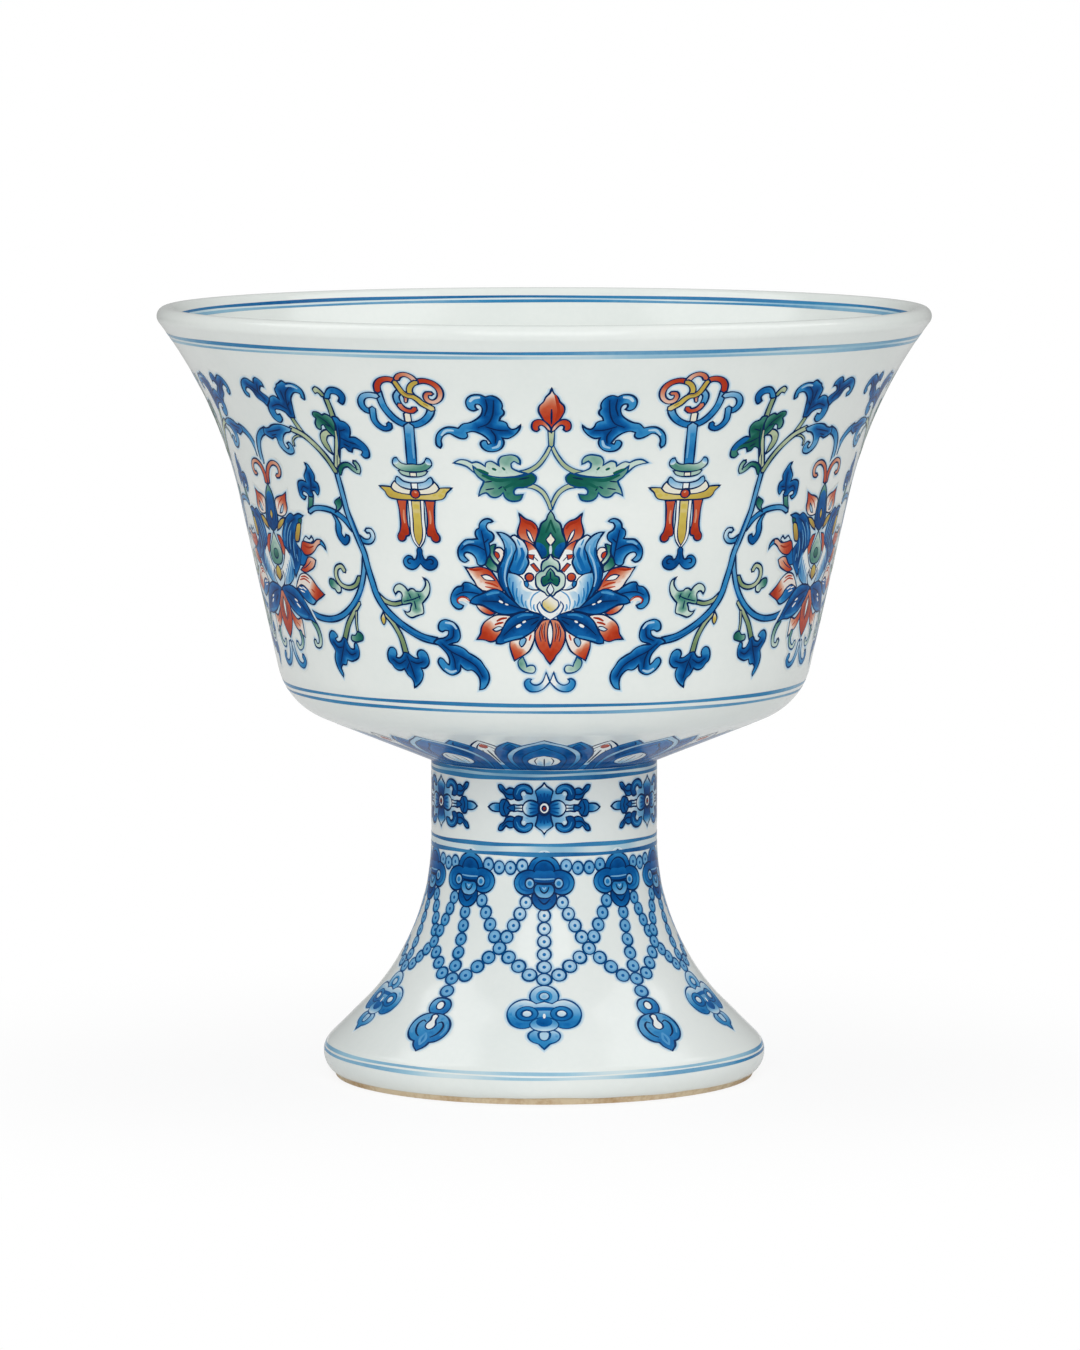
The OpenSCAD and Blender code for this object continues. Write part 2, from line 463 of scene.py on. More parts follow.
# A flat drawing in mm. What is drawn later covers what is under it, and the outlines bleed into the glaze,
# though not below low. For sides, "both" also draws the mirror image, "whole" closes a half outline with it.
class Drawing:
    def __init__(self, line=0.32, lineTone=0.35, low=-math.inf, sides="both"):
        self.items = []
        self.halos = []
        self.line = line
        self.lineTone = lineTone
        self.low = low
        self.sides = sides

    def put(self, ink, loops, dark, pale, tone, vein=None):
        self.items.append(dict(ink=ink, loops=loops, dark=dark, pale=pale, tone=tone, vein=vein))

    def outlined(self, ink, loop, dark, pale, tone, line, vein=None):
        loop = anticlockwise(loop)
        self.put(ink, [loop], dark, pale, tone, vein)
        width = self.line if line is None else line
        if width:
            sway = 1 + brush["sway"] * np.sin(np.arange(len(loop)) * brush["swayStep"] + len(self.items))
            outer = besides(loop, width / 2 * sway, True)
            inner = besides(loop, -width / 2 * sway, True)
            self.put("line", [outer, inner[::-1]], None, None, (self.lineTone, self.lineTone))
            halo = besides(loop, width / 2 + brush["bleed"], True)[::2]
            self.halos.append(np.maximum(halo, (-math.inf, self.low)))

    def stamp(self, other, x):
        move = np.array([x, 0])
        for item in other.items:
            ends = {key: None if item[key] is None else item[key] + move for key in ("dark", "pale", "vein")}
            self.items.append(dict(item, loops=[loop + move for loop in item["loops"]], **ends))
        self.halos += [halo + move for halo in other.halos]

    # With a vein, one or more paths, the tone runs from the vein outwards; else it runs from dark to pale
    def shape(self, ink, edge, dark=(0, 0), pale=(0, 1), tone=(0, 1), line=None, sides=None, vein=None):
        sides = sides or self.sides
        points, sharp = readPoints(edge)
        if sides in ("whole", "upDown"):
            keep = np.abs(points[::-1, 0]) > close
            points = np.concatenate([points, (points * [-1, 1])[::-1][keep]])
            sharp = np.concatenate([sharp, sharp[::-1][keep]])
        loop = smoothLine(points, sharp, True)
        paths = vein.split(";") if vein else []
        spots = np.concatenate([smoothLine(*readPoints(path), False) for path in paths]) if vein else None
        for flip in flips[sides]:
            self.outlined(ink, loop * flip, np.multiply(dark, flip), np.multiply(pale, flip), tone, line,
                          spots * flip if vein else None)
        for path in paths:
            self.stroke(path, brush["vein"], sides=sides)

    def ribbon(self, ink, path, width, dark=(0, 0), pale=(0, 1), tone=(0, 1), line=None, sides=None):
        loop = ribbonLoop(smoothLine(*readPoints(path), False), *width)
        for flip in flips[sides or self.sides]:
            self.outlined(ink, loop * flip, np.multiply(dark, flip), np.multiply(pale, flip), tone, line)

    def stroke(self, path, width=0.3, ink="line", tone=0.3, sides=None):
        spine = smoothLine(*readPoints(path), False)
        end, blunt = brush["strokeEnd"], brush["strokeBlunt"]
        t = np.clip(np.linspace(0, 1, len(spine)), blunt, 1 - blunt)
        half = width / 2 * (end + (1 - end) * np.sin(math.pi * t) ** 0.5)
        loop = anticlockwise(np.concatenate([besides(spine, half, False),
                                             besides(spine, -half, False)[::-1]]))
        for flip in flips[sides or self.sides]:
            self.put(ink, [anticlockwise(loop * flip)], None, None, (tone, tone))

    def disc(self, ink, x, y, radius, tone=(0, 0.6), line=None, sides=None):
        for flip in flips[sides or self.sides]:
            spot = np.multiply((x, y), flip)
            self.outlined(ink, circleLoop(*spot, radius), spot - (0, radius), spot + (0, radius), tone, line)


flips = {"one": [(1, 1)], "both": [(1, 1), (-1, 1)], "whole": [(1, 1)], "upDown": [(1, 1), (1, -1)],
         "four": [(1, 1), (-1, 1), (1, -1), (-1, -1)]}


# Which points the loops wind round
def inside(points, loops):
    wind = np.zeros(len(points), int)
    for loop in loops:
        near = np.all((points >= loop.min(0)) & (points <= loop.max(0)), 1)
        if not near.any():
            continue
        px, py = points[near].T[:, :, None]
        a, b = loop, np.roll(loop, -1, 0)
        side = (b[:, 0] - a[:, 0]) * (py - a[:, 1]) - (px - a[:, 0]) * (b[:, 1] - a[:, 1])
        up = (a[:, 1] <= py) & (b[:, 1] > py) & (side > 0)
        down = (a[:, 1] > py) & (b[:, 1] <= py) & (side < 0)
        wind[near] += up.sum(1) - down.sum(1)
    return wind != 0


# Cut a drawing into triangles, each with the ink that lies on top there
def cutDrawing(drawing):
    halos = [dict(ink="cobalt", loops=[halo], bleeds=True) for halo in drawing.halos]
    items = halos + drawing.items
    loops = [loop for item in items for loop in item["loops"]]
    points = np.concatenate(loops)
    drawn = points[sum(len(halo) for halo in drawing.halos):]
    starts = np.cumsum([0] + [len(l) for l in loops])
    edges = [(int(s + i), int(s + (i + 1) % len(l))) for s, l in zip(starts, loops) for i in range(len(l))]
    tree = KDTree(len(drawn))
    for i, p in enumerate(drawn):
        tree.insert((*p, 0), i)
    tree.balance()

    def gapTo(spots):
        return np.array([tree.find((*p, 0))[2] for p in spots])

    low, high = points.min(0), points.max(0)
    gap = brush["grid"]
    gx, gy = np.meshgrid(np.arange(low[0], high[0], gap), np.arange(low[1], high[1], gap * brush["gridRow"]))
    gx[1::2] += gap / 2
    grid = np.stack([gx.ravel(), gy.ravel()], 1)
    covered = np.zeros(len(grid), bool)
    for item in drawing.items:
        covered |= inside(grid, item["loops"])
    grid = grid[covered]
    grid = grid[gapTo(grid) > brush["gridClear"] * gap]
    flat = [Vector(p) for p in np.concatenate([points, grid])]
    verts, _, faces, sources, _, _ = delaunay_2d_cdt(flat, edges, [], 0, brush["weld"])
    verts = np.array([v[:] for v in verts])
    faces = np.array([f[:] for f in faces])
    onEdge = np.array([not any(s >= len(points) for s in source) for source in sources])
    first, same = meeting(verts, brush["places"])
    faces = same[faces]
    faces = faces[np.diff(np.sort(faces, 1), axis=1).all(1)]
    verts, onEdge = verts[first], onEdge[first]
    middle = verts[faces].mean(1)
    owner = np.full(len(faces), -1)
    for k in range(len(items) - 1, -1, -1):
        free = np.nonzero(owner < 0)[0]
        owner[free[inside(middle[free], items[k]["loops"])]] = k
    cuts = {}
    for k, item in enumerate(items):
        mine = faces[owner == k]
        if not len(mine):
            continue
        t = np.zeros(mine.shape)
        ends = brush["bleedTone"]
        if "bleeds" in item:
            t = np.clip(gapTo(verts[mine].reshape(-1, 2)) / brush["bleed"], 0, 1).reshape(mine.shape)
        else:
            ends = item["tone"]
            if item["vein"] is not None:
                way = verts[mine][:, :, None] - item["vein"]
                t = np.clip(np.hypot(way[..., 0], way[..., 1]).min(2) / brush["veinReach"], 0, 1)
            elif item["dark"] is not None:
                way = np.subtract(item["pale"], item["dark"])
                t = np.clip((verts[mine] - item["dark"]) @ way / (way @ way), 0, 1)
        tone = ends[0] + (ends[1] - ends[0]) * t
        if item["ink"] != "line" and "bleeds" not in item:
            tone = tone + brush["rim"] * onEdge[mine]
        cuts.setdefault(item["ink"], []).append((mine, tone))
    return {ink: (verts, np.concatenate([m for m, _ in rows]), np.concatenate([t for _, t in rows]))
            for ink, rows in cuts.items()}


# Places on the cup: outline, radius at which a flat mm is true, and climb of the flat zero
zones = {"bowl": ("bowlOut", 55, 101.1), "under": ("bowlOut", 35, 0), "stem": ("stemOut", 25, 0.4),
         "neck": ("stemOut", 25, 61), "inner": ("bowlIn", 60, 0)}
painted = {}


# Flat mm become an angle round the axis and a climb along the outline; over lifts a drawing above another
def layDrawing(cut, zone, angle, flip=1, stretch=1.0, shift=0.0, over=0.0, lean=0.0):
    outline, refR, base = zones[zone]
    for ink, (verts, faces, tones) in cut.items():
        rise = verts[:, 1] - layout["leanFrom"]
        flat = flip * stretch * (verts[:, 0] + shift) + lean * np.maximum(rise, layout["lowLean"] * rise)
        theta = math.radians(angle) + flat / refR
        climb = base + verts[:, 1]
        used, faces = np.unique(faces, return_inverse=True)
        faces = faces.reshape(-1, 3)
        if flip < 0:
            faces = faces[:, ::-1]
            tones = tones[:, ::-1]
        painted.setdefault((zone, ink), []).append((theta[used], climb[used], faces, tones, over))


# Edges that only one of the triangles has
def rimEdges(faces):
    sides = np.concatenate([faces[:, [0, 1]], faces[:, [1, 2]], faces[:, [2, 0]]])
    key = np.sort(sides, 1) @ [faces.max() + 1, 1]
    _, first, times = np.unique(key, return_index=True, return_counts=True)
    return sides[first[times == 1]]


# A laid drawing's place on the mesh's map, which has one cell for each drawing
def mapCell(theta, climb, column, row, margin=0.02):
    across = (theta - theta.min()) / np.ptp(theta)
    up = (climb - climb.min()) / np.ptp(climb)
    share = 1 - 2 * margin
    return np.stack([column + margin + share * across, row + margin + share * up], 1)


# A closed layer from just under the surface, sink, to lift above it
def paintMesh(name, parts, outline, lift, sink=0.04):
    shift = np.cumsum([0] + [len(p[0]) for p in parts])
    theta = np.concatenate([p[0] for p in parts])
    climb = np.concatenate([p[1] for p in parts])
    top = np.concatenate([p[2] + s for p, s in zip(parts, shift)])
    tones = np.concatenate([p[3] for p in parts])
    lift = lift + np.concatenate([np.full(len(p[0]), p[4]) for p in parts])[:, None]
    r, z, nr, nz = outline.at(climb)
    normal = np.stack([nr * np.sin(theta), -nr * np.cos(theta), nz], 1)
    spot = np.stack([r * np.sin(theta), -r * np.cos(theta), z], 1)
    n = len(theta)
    mean = np.bincount(top.ravel(), tones.ravel(), n) / np.maximum(np.bincount(top.ravel(), minlength=n), 1)
    a, b = rimEdges(top).T
    walls = np.concatenate([np.stack([b, a, a + n], 1), np.stack([b, a + n, b + n], 1)])
    faces = np.concatenate([top, top[:, ::-1] + n, walls])
    wash = np.concatenate([tones.ravel(), tones[:, ::-1].ravel(), mean[walls % n].ravel()])
    mesh = bpy.data.meshes.new(name)
    mesh.from_pydata(np.concatenate([spot + lift * normal, spot - sink * normal]) * mm, [], faces)
    mesh.polygons.foreach_set("use_smooth", np.ones(len(faces), bool))
    mesh.attributes.new("wash", "FLOAT", "CORNER").data.foreach_set("value", wash.astype(np.float32))
    cells = math.ceil(math.sqrt(len(parts)))
    spots = np.concatenate([mapCell(p[0], p[1], k % cells, k // cells) for k, p in enumerate(parts)]) / cells
    mesh.uv_layers.new(name="OFBake").data.foreach_set("uv", spots[faces % n].ravel().astype(np.float32))
    mesh.normals_split_custom_set_from_vertices(np.concatenate([normal, -normal]))
    return mesh


# Share laid drawings out over meshes that each stay small enough to export whole
def shareOut(parts, most=190000):
    shares = [[]]
    used = 0
    for part in parts:
        faces = 2 * (len(part[2]) + len(rimEdges(part[2])))
        if used and used + faces > most:
            shares.append([])
            used = 0
        shares[-1].append(part)
        used += faces
    return shares


def addPainting():
    for (zone, ink), parts in painted.items():
        look = pigments[ink]
        material = bpy.data.materials.get(ink + "Pigment") or pigmentMaterial(ink, look)
        for count, share in enumerate(shareOut(parts), 1):
            name = zone + ink.capitalize() + (str(count) if count > 1 else "")
            mesh = paintMesh(name, share, outlines[zones[zone][0]], look["lift"])
            addPiece(name, mesh, material)
            print("painted", name, len(mesh.polygons), "faces")


# Upright veins in the cup of a flower, each with its foot, its height and its tone; all curve alike
def strands(d, width, lean, rows, bulge=0.4):
    for x, y, tall, tone in rows:
        d.stroke(f"{x},{y} {x + bulge},{y + tall / 2} {x + lean},{y + tall}", width, "cobalt", tone)


# The large flower with its bud and leaves
def lotusDrawing():
    d = Drawing()
    # upper petals and the pale ones inside
    d.shape("red", "5.5,37.6! 5.3,36.2 5.6,34.9 5.8,33.8 5.4,32.8 4.6,32 3.6,30.5! 2.9,31.6 2.4,33.1 "
            "2.2,34.4 2.5,35.3 3.3,36.1 4.3,36.5", (4.2, 36.2), (4.6, 32), (0.12, 0.7))
    d.stroke("2.7,34.6 3.3,35.5 4.4,36 5,36.6", 0.5, "red", 0.05)
    d.shape("cobalt", "2.8,31.6! 3.2,32.9 3.7,34 4.2,34.5! 4.1,33.6 3.6,32.5", tone=(0.9, 0.9), line=0.24)
    d.shape("red", "1.5,28.9! 2.3,30.5 3.2,31.6 4.7,32.5! 4.3,31.2 3.9,29.9 2.9,29.9", (4.4, 32),
            (2.5, 29.5), (0.3, 1))
    d.shape("cobalt", "0,30.4! 4,30.2 4.2,28 5,26 6,25.6 4.5,24.6 2,22.5 0,22!", (4, 24), (2, 29), (0.9, 1),
            0)
    d.shape("red", "1.9,26.6! 3,28! 3.6,27.7! 2.5,26.3!", tone=(0.3, 0.3), line=0.2)
    d.shape("red", "2.9,29.6! 4,29.7! 3.9,29! 3.1,28.7!", tone=(0.3, 0.3), line=0.2)
    d.shape("cobalt", "4.2,24.5 5,24.3 4.6,23.2 4,23.6", tone=(0.4, 0.4), line=0.2)
    d.disc("red", 3.8, 25.3, 0.8, (0.2, 0.5), 0.3)
    d.stroke("2.2,28.4 2.9,29.2", 0.2)
    d.stroke("4.3,28.8 4.6,27.9", 0.22)
    # cup of the flower
    d.shape("cobalt", "6.9,33.2 6.4,33.4 5.6,32.9 4.8,32.3 4.3,31.3 4,30.1 4.2,29.2! 3.9,28.2 4.3,27.1 "
            "5.1,25.9 6,25.8 7.2,26.2 7.6,28 7.2,30.3 7.2,32.2", (7, 27.6), (4.4, 31.4), (0.36, 0.86))
    for path, width, tone in (("5.2,31 4.9,29.7 5.5,28.1 6.2,26.5", 0.75, 0.32),
                              ("6.3,31.8 6,30.3 6.3,28.5", 0.5, 0.3), ("5.9,32.6 5.4,31.4", 0.3, 0.55),
                              ("4.7,28.6 5,27.4 5.6,26.5", 0.3, 0.6)):
        d.stroke(path, width, "cobalt", tone)
    d.shape("cobalt", "0,17.1! 2.2,18.2 4.2,18.9 5.6,19.5 7,20.6 8.2,22.4 8.9,24.5 8.6,26.4! 7.6,26.2 "
            "6,25.8 4.9,24.8 4.6,23.6 3.4,22.9 1.8,22.8 0,21.8!", (8.8, 22), (4.4, 23.4), (0.36, 0.96),
            0.26)
    d.stroke("1.8,22.7 3.1,21.8 3.65,20.5 3.5,19", 0.3, "cobalt", 0.62)
    d.stroke("5.3,24.6 6,23 6.1,21.4", 0.5, "cobalt", 0.8)
    strands(d, 0.36, 0.3, ((2.7, 18.7, 1.4, 0.6), (4.2, 19.2, 1.6, 0.62), (4.9, 19.6, 2.4, 0.45),
                           (5.8, 20.2, 3, 0.5), (6.5, 20.8, 3.6, 0.35), (7.1, 21.4, 3.8, 0.55),
                           (7.7, 22.2, 3.6, 0.3)))
    d.shape("green", "9.75,31.6 10.7,31.3 10.9,29.8 10.1,28.1 9.4,27.5! 9.1,28.3 9.9,29.4 10,30.6",
            (10.5, 31), (9.8, 28), (0.25, 0.9))
    d.shape("green", "10.9,29.2 11.8,27.7 11,26.8 9.7,26.2! 9.5,27.2 10.3,28.2", (11.2, 28.2), (9.9, 26.6),
            (0.2, 0.7))
    d.shape("red", "8.3,30.3! 8.8,30.9 9.7,30.9 10.1,29.8 9.7,29 9,28.1 8.4,29", (9.6, 29), (8.6, 30.5),
            (0.85, 1))
    d.shape("red", "9.9,30.2 9.3,29.9 9.1,29.2 9.4,28.8 9.9,29.3", tone=(0.2, 0.2), line=0.2)
    d.shape("cobalt", "9.4,33.9! 8.6,32.6 8.2,31.4 8.2,30 8.6,28.7 9.2,27.3 9.5,25.9 9.3,24.6 8.6,23.1 "
            "7.5,21.3 6.3,20! 7.2,21.8 7.8,23.6 7.9,25 7.5,26.8 6.8,28.6 6.4,30 6.1,30.7 6.2,31.6 "
            "6.8,32.6 7.6,33.4 8.8,33.9", (8.9, 25.4), (6.8, 32), (0.22, 0.7))
    for path, width, tone in (("7,31.4 6.9,30.2 7.6,28.6 8.1,26.8 8.3,25 8,23.4", 0.36, 0.75),
                              ("8.7,33.1 7.8,32 7.5,30.8", 0.34, 0.6),
                              ("8.9,27.2 9.1,25.6 8.9,24.2 8.3,22.8", 0.5, 0.05),
                              ("7.9,31 7.9,29.8 8.4,28.2", 0.34, 0.2)):
        d.stroke(path, width, "cobalt", tone)
    # scroll leaf, red petal and curl at the side
    d.shape("cobalt", "10.1,36! 10.4,36.3 11,36.5 11.9,36.2 12.5,35.4 12.6,34.7! 13.2,34.2 13.3,33.3 "
            "13,32.6! 14,32.5 15.1,32.4 15.9,31.7 16.6,30.6 16.7,29.5 16.3,28.4 15.5,28 14.8,28.4! "
            "15.3,28.9 15.6,29.4 15.3,29.9 14.6,29.9 13.9,29.5 13.4,28.7 13.1,27.6 12.5,27.4 11.8,27.7 "
            "11.4,28.7 10.9,29.5 10.9,31.8! 10.2,32.4 10,33.1 10.2,33.7 11,34.3 11.3,35 10.9,35.7 "
            "10.4,35.8", tone=(0.1, 0.6), vein="11.4,28.6 11.6,30.4 11.9,32.4 12.2,34.2; 11.7,30.4 "
                                               "13.2,31.2 15,31.3 16,30.4; 11.8,31.8 11,32.6")
    d.stroke("13.6,32 14.8,31.9 15.6,31.4", 0.5, "cobalt", 0.68)
    d.shape("red", "15.6,27.1! 14.7,26.9 13.8,27.1 12.9,27.2 11.8,27 10.9,26.6 10.3,25.8 9.7,24.8 "
            "9.1,23.5 8.6,22.6! 10,22.2 11.8,22.5 12.7,22.7 13.4,23.3 14,24.4 14.6,25.3 15.1,26.3",
            (11.2, 26.6), (13.2, 24.2), (0.15, 1))
    d.stroke("12.2,26.8 13.6,26.6 14.8,26.7", 0.5, "red", 0.12)
    d.shape("cobalt", "10.1,24.6! 10.9,25.4 11.8,25.7 12.6,25.5! 12,24.8 10.9,24.6", tone=(0.95, 0.95),
            line=0.24)
    d.stroke("9.6,23.4 10.6,23.9 12,24.2", 0.4, "red", 0.2)
    d.stroke("9.6,22.9 11,23.2 12,23.4", 0.34, "red", 0.3)
    d.shape("cobalt", "12.2,22.2! 12.7,22.7 13.8,23.5 15,24.1 15.9,24.1 16.4,23.4! 17.3,23.2 18.2,22.3 "
            "18.7,21 18.6,20 18.2,19.4 17.4,18.9 16.6,19.1 16.3,19.6! 16.9,19.9 17.4,20.2 17.5,20.7 "
            "16.9,21.25 16.1,21.4 15.2,20.9 14.9,20.3! 13.6,21", tone=(0.16, 0.55),
            vein="13,21.9 14.6,22.2 16.2,22.2 17.6,21.6; 16,23.6 16.3,22.4")
    d.shape("red", "14.9,20.4! 15.2,20.9 16.1,21.4 16.9,21.25 17.4,20.7! 16.9,20.5 16,20.5",
            tone=(0.98, 0.98), line=0)
    d.stroke("15,20.5 15.9,21.2 16.8,21.2 17.4,20.6 17.1,20", 0.3, "red", 0.15)
    # lower petals
    d.shape("red", "10.2,18.3! 12.8,19.7 13.9,19.9! 13.4,19 12.4,18.2 11.1,17.9", (10.8, 18.2),
            (13.5, 19.6), (0.2, 0.9))
    d.shape("cobalt", "5.4,19.3! 7.5,21.35 8.8,22.4 9.9,22.9 10.9,22.8 12,22.3 13.1,21.8 14.2,21.3 "
            "14.8,20.7 15,20.2! 14.1,19.9 12.8,19.85 11.9,19.4 10.9,18.9 9.8,18.3 8.5,18 7.2,18.1 "
            "5.9,18.5 4.1,19", tone=(0, 0.32), vein="5.6,19.3 7.8,20 10,20.5 12.6,20.6; 8.4,20.4 9.6,21.6")
    d.stroke("9.4,22.3 10.6,22.2 11.8,21.8", 0.5, "cobalt", 0.58)
    d.stroke("7.8,19.9 8.4,20.1", 0.3, "cobalt", 0.9)
    d.stroke("8.8,20.3 9.5,20.7", 0.42, "cobalt", 0.97)
    d.shape("red", "7.3,17.8! 8.7,18 10.2,17.9 11.5,17.2 12.6,16.3 13.1,15.4 13.3,14.3 14.1,13.1! "
            "13.3,13.1 12.4,13 11.5,12.7 10.4,13 9.2,14.3", (12.2, 13.8), (10.4, 16.6), (0.14, 1))
    d.shape("cobalt", "8.9,15.5! 9.7,15.7 10.9,15.1! 10.5,14.8 9.5,15", tone=(0.85, 0.85), line=0.24)
    d.stroke("8.1,17.4 9.2,17.2 10.1,16.7", 0.46, "red", 0.05)
    d.stroke("8.8,16.5 9.8,16.3 10.5,16", 0.46, "red", 0.08)
    d.shape("red", "2.9,15! 3,13.4 3.3,12.4 4,11 5,10.2 5.9,9.7 6.9,9.1! 7.3,10.2 7.5,10.9 7.7,11.7 "
            "7.6,12.9 6,14", (6.7, 9.8), (5, 12), (0.15, 1.02))
    d.shape("cobalt", "4.6,13.4 5.2,13.6 5.9,12.5 5.5,11.8 4.8,12.5", tone=(0.72, 0.72), line=0.24)
    d.stroke("3.6,14.2 4,13", 0.36, "red", 0.25)
    d.shape("red", "0,17.2 1.5,16.9 2.2,15.8 2.8,14.7 2.9,13.7 2.5,12.1 1.9,11 1.2,10.2 .75,9.4 0,8.5!",
            (0, 9.6), (0, 15), (0.16, 0.62), sides="whole")
    d.stroke("0.9,16.6 1.15,14.8 .9,12.8", 0.24)
    d.stroke("1.6,16.2 2,14.4 1.7,12.8", 0.24)
    d.stroke("1.25,16.4 1.6,14.8 1.3,13.2", 0.3, "red", 0.1)
    d.shape("cobalt", "0,17! .42,15.6 .5,14.2 .34,12.8 0,11.7!", tone=(0.97, 0.97), line=0.3, sides="whole")
    d.shape("cobalt", "1.3,17.8! 2.4,18.3 3.9,18.5 5.6,18.4 7.2,17.7 8.3,16.6 8.9,15.5 9.5,14.3 10.3,13 "
            "10.3,12.4! 9.5,12.3 8.2,12.7 6.9,13.1 5.6,13.4 4.3,14.1 3,15.1 2.2,16.3 1.3,17.5",
            tone=(0, 0.28), vein="2,17.6 4.4,17 6.8,15.8 8.8,14; 2.2,17 3.6,16")
    d.stroke("5.2,13.9 7,13.5 8.8,13", 0.5, "cobalt", 0.52)
    d.stroke("3.2,18 4.8,18 6.2,17.5", 0.4, "cobalt", 0.5)
    d.stroke("4.6,16.8 5.2,16.5", 0.42, "cobalt", 0.95)
    d.stroke("5.5,16.1 6.4,15.6", 0.55, "cobalt", 0.92)
    # middle: pearl, trefoils and bud
    d.lineTone = 0.8
    d.shape("cobalt", "0,18.5 1,18.9 1.7,19.8 1.9,20.6! 2.4,19.9 1.9,18.4 0,17!", tone=(0.84, 0.9),
            line=0.24, sides="whole")
    d.shape("yellow", "0,21.8! .7,21.2 1.45,20.6 1.5,19.8 .9,19 0,18.5", (-0.2, 19.4), (1, 20.9), (0.7, 1),
            0.24, sides="whole")
    d.lineTone = 0.5
    d.shape("green", "0,29.8! .5,28.9 1.4,28.3 1.65,27.6 1.5,26.4 0,26", (0, 27.4), (1.2, 28.8), (0.72, 1),
            sides="whole")
    d.shape("green", "0,27.5 .7,27.2 1.3,26.5! 1.8,26.4 2.6,25.7 2.7,24.6 2.5,23.5 1.8,22.8 1,22.3 "
            ".5,21.7 0,21.9", (0, 27), (2, 23.5), (0.78, 1.05), sides="whole")
    d.shape("green", "0,27! .65,26.2 .85,25.6! 1.5,25.3 1.65,24.4 1.2,23.6 .5,24 0,24.3", (0, 24.8),
            (0.4, 26.8), (0.15, 0.6), 0.28, sides="whole")
    d.shape("cobalt", "0,24.2! .4,23.5 .65,22.9 .4,22.3 0,21.9!", tone=(0.88, 0.88), line=0.25,
            sides="whole")
    d.stroke("0,26.4 0,25", 0.3, sides="one")
    d.stroke("0,25.1 .5,24.6", 0.24)
    d.lineTone = 0.35
    d.shape("green", "0,38.1! .5,37.3 .8,36.4 1.6,35.7 1.9,34.8 2.1,33.7 2.6,32.4 2.7,31.3 2.2,30.3 "
            "1.5,28.9! .6,29.2 0,29.9", (-0.9, 34.4), (1.2, 36.6), (0.2, 0.7), sides="whole")
    d.shape("cobalt", "2.5,32 2.55,31.3 2.1,30.4 1.5,29.1! .8,29.5 .9,31 1.6,31.8", (1.6, 29.6),
            (1.4, 31.6), (0.05, 0.3), 0)
    d.stroke("0,36.4 .4,35 .9,33.8", 0.4, "green", 0.05)
    d.shape("yellow", "0,33.9! .35,33.2 .8,32.6 .4,31.8 0,31.3!", tone=(0.95, 0.95), line=0.26,
            sides="whole")
    d.stroke("0,31.4 0,29.8", 0.5, "cobalt", 0.85, "one")
    # stems, leaves and bud above the flower, with bluer outlines
    d.lineTone = 0.75
    d.ribbon("olive", "0,38.4 .5,40 1.5,41.8 2.9,42.8 4.2,43.1", (0.6, 1), (0, 38), (3, 43), (0.8, 0.98),
             0.24)
    d.ribbon("olive", "0,51.2 1,48.8 2.4,46.8 3.9,45.8 5.6,45.3", (0.6, 1), (2, 47), (0, 51), (0.8, 0.98),
             0.24)
    d.ribbon("olive", "0,54.2 0,52.6 0,51", (1.1, 0.8), (0, 51), (0, 54), (0.75, 1), 0.24, sides="one")
    d.shape("green", "3.9,45.4! 5.6,45.9 6.5,46.5 6.6,47.3! 6.1,47.8 5.5,47.4 5.1,47.2! 5.1,48 5.6,48.8 "
            "6.4,49.1 7.3,49 8.2,48.7 8.7,47.7 8.6,46.9! 9.2,47.4 10,47.8 10.8,47.4 10.9,46.7! 11.6,47.3 "
            "12.4,47.6 13.1,47.4! 14,47.9 15,48 16.3,47.3! 15.2,47.1 14,46.6 13.1,45.7 12.2,44.8! "
            "10.8,44.6 9,44.4 7,44.6 5.2,45", (7.6, 47.6), (8.6, 45), (0.72, 1))
    d.shape("green", "3.2,45.5! 4.6,44.9 6.5,44.7 8.6,44.6 10.6,45 12.2,46 13,46.8! 12.8,45.6 12.2,44.6 "
            "11.3,43.8! 11.5,43.2 11.9,42.4 12.4,40.8! 11.7,41.3 11,41.5 10.3,40.8 9.5,40.6 8.6,41 "
            "8.1,41.6! 7.9,40.8 7.2,40.1 6.2,39.9 5.2,40.2 4.7,41.3! 5.4,41.2 6.1,41.2 6.3,41.8 5.8,42.5 "
            "4.6,42.6 3.3,43.1! 2.6,43.8 2.5,44.7", (5.4, 44), (10.6, 40.4), (0.1, 0.72))
    for path in ("8.2,42.8 8.9,42.3", "9.6,42.4 11.1,42.1", "9.9,43.8 11.2,43.6", "7.6,41.9 8,42.8",
                 "3.6,44.6 5.4,44.2"):
        d.stroke(path, 0.3)
    for path, width in (("4.6,43.8 6.6,43.2 8,42.4", 0.6), ("6.4,44.3 9,44 11.6,45", 0.7),
                        ("10.4,45.3 12.4,46.2", 0.6), ("7.6,46 8.1,46.6", 0.4), ("9.1,46 9.8,46.4", 0.5)):
        d.stroke(path, width, "green", 0.16)
    d.lineTone = 0.45
    d.shape("red", "0,63.1! .3,62 .9,61.1 1.2,60.2 1.9,59.2 2,58.2 1.6,57 1,55.8 .5,54.6 0,53.7!",
            (0.7, 57.6), (-1, 61), (0.2, 0.85), sides="whole")
    d.stroke("0.5,61.6 0.9,59.8 1.1,58 0.6,56", 0.5, "red", 0.12, "one")
    d.shape("red", "0,53.7! .1,54.6 .7,55.6 1.3,56.2 2.1,56.4 2.8,56 3.1,55.1 2.9,54.2 2.3,53.9 1.9,54.3! "
            "2,54.9 1.6,55.2 1.1,54.9 .6,54.2", (2.4, 55.2), (0.6, 54.6), (0.2, 0.75))
    d.stroke("0,58.6 0,55.4", 0.36, sides="one")
    d.lineTone = 0.35
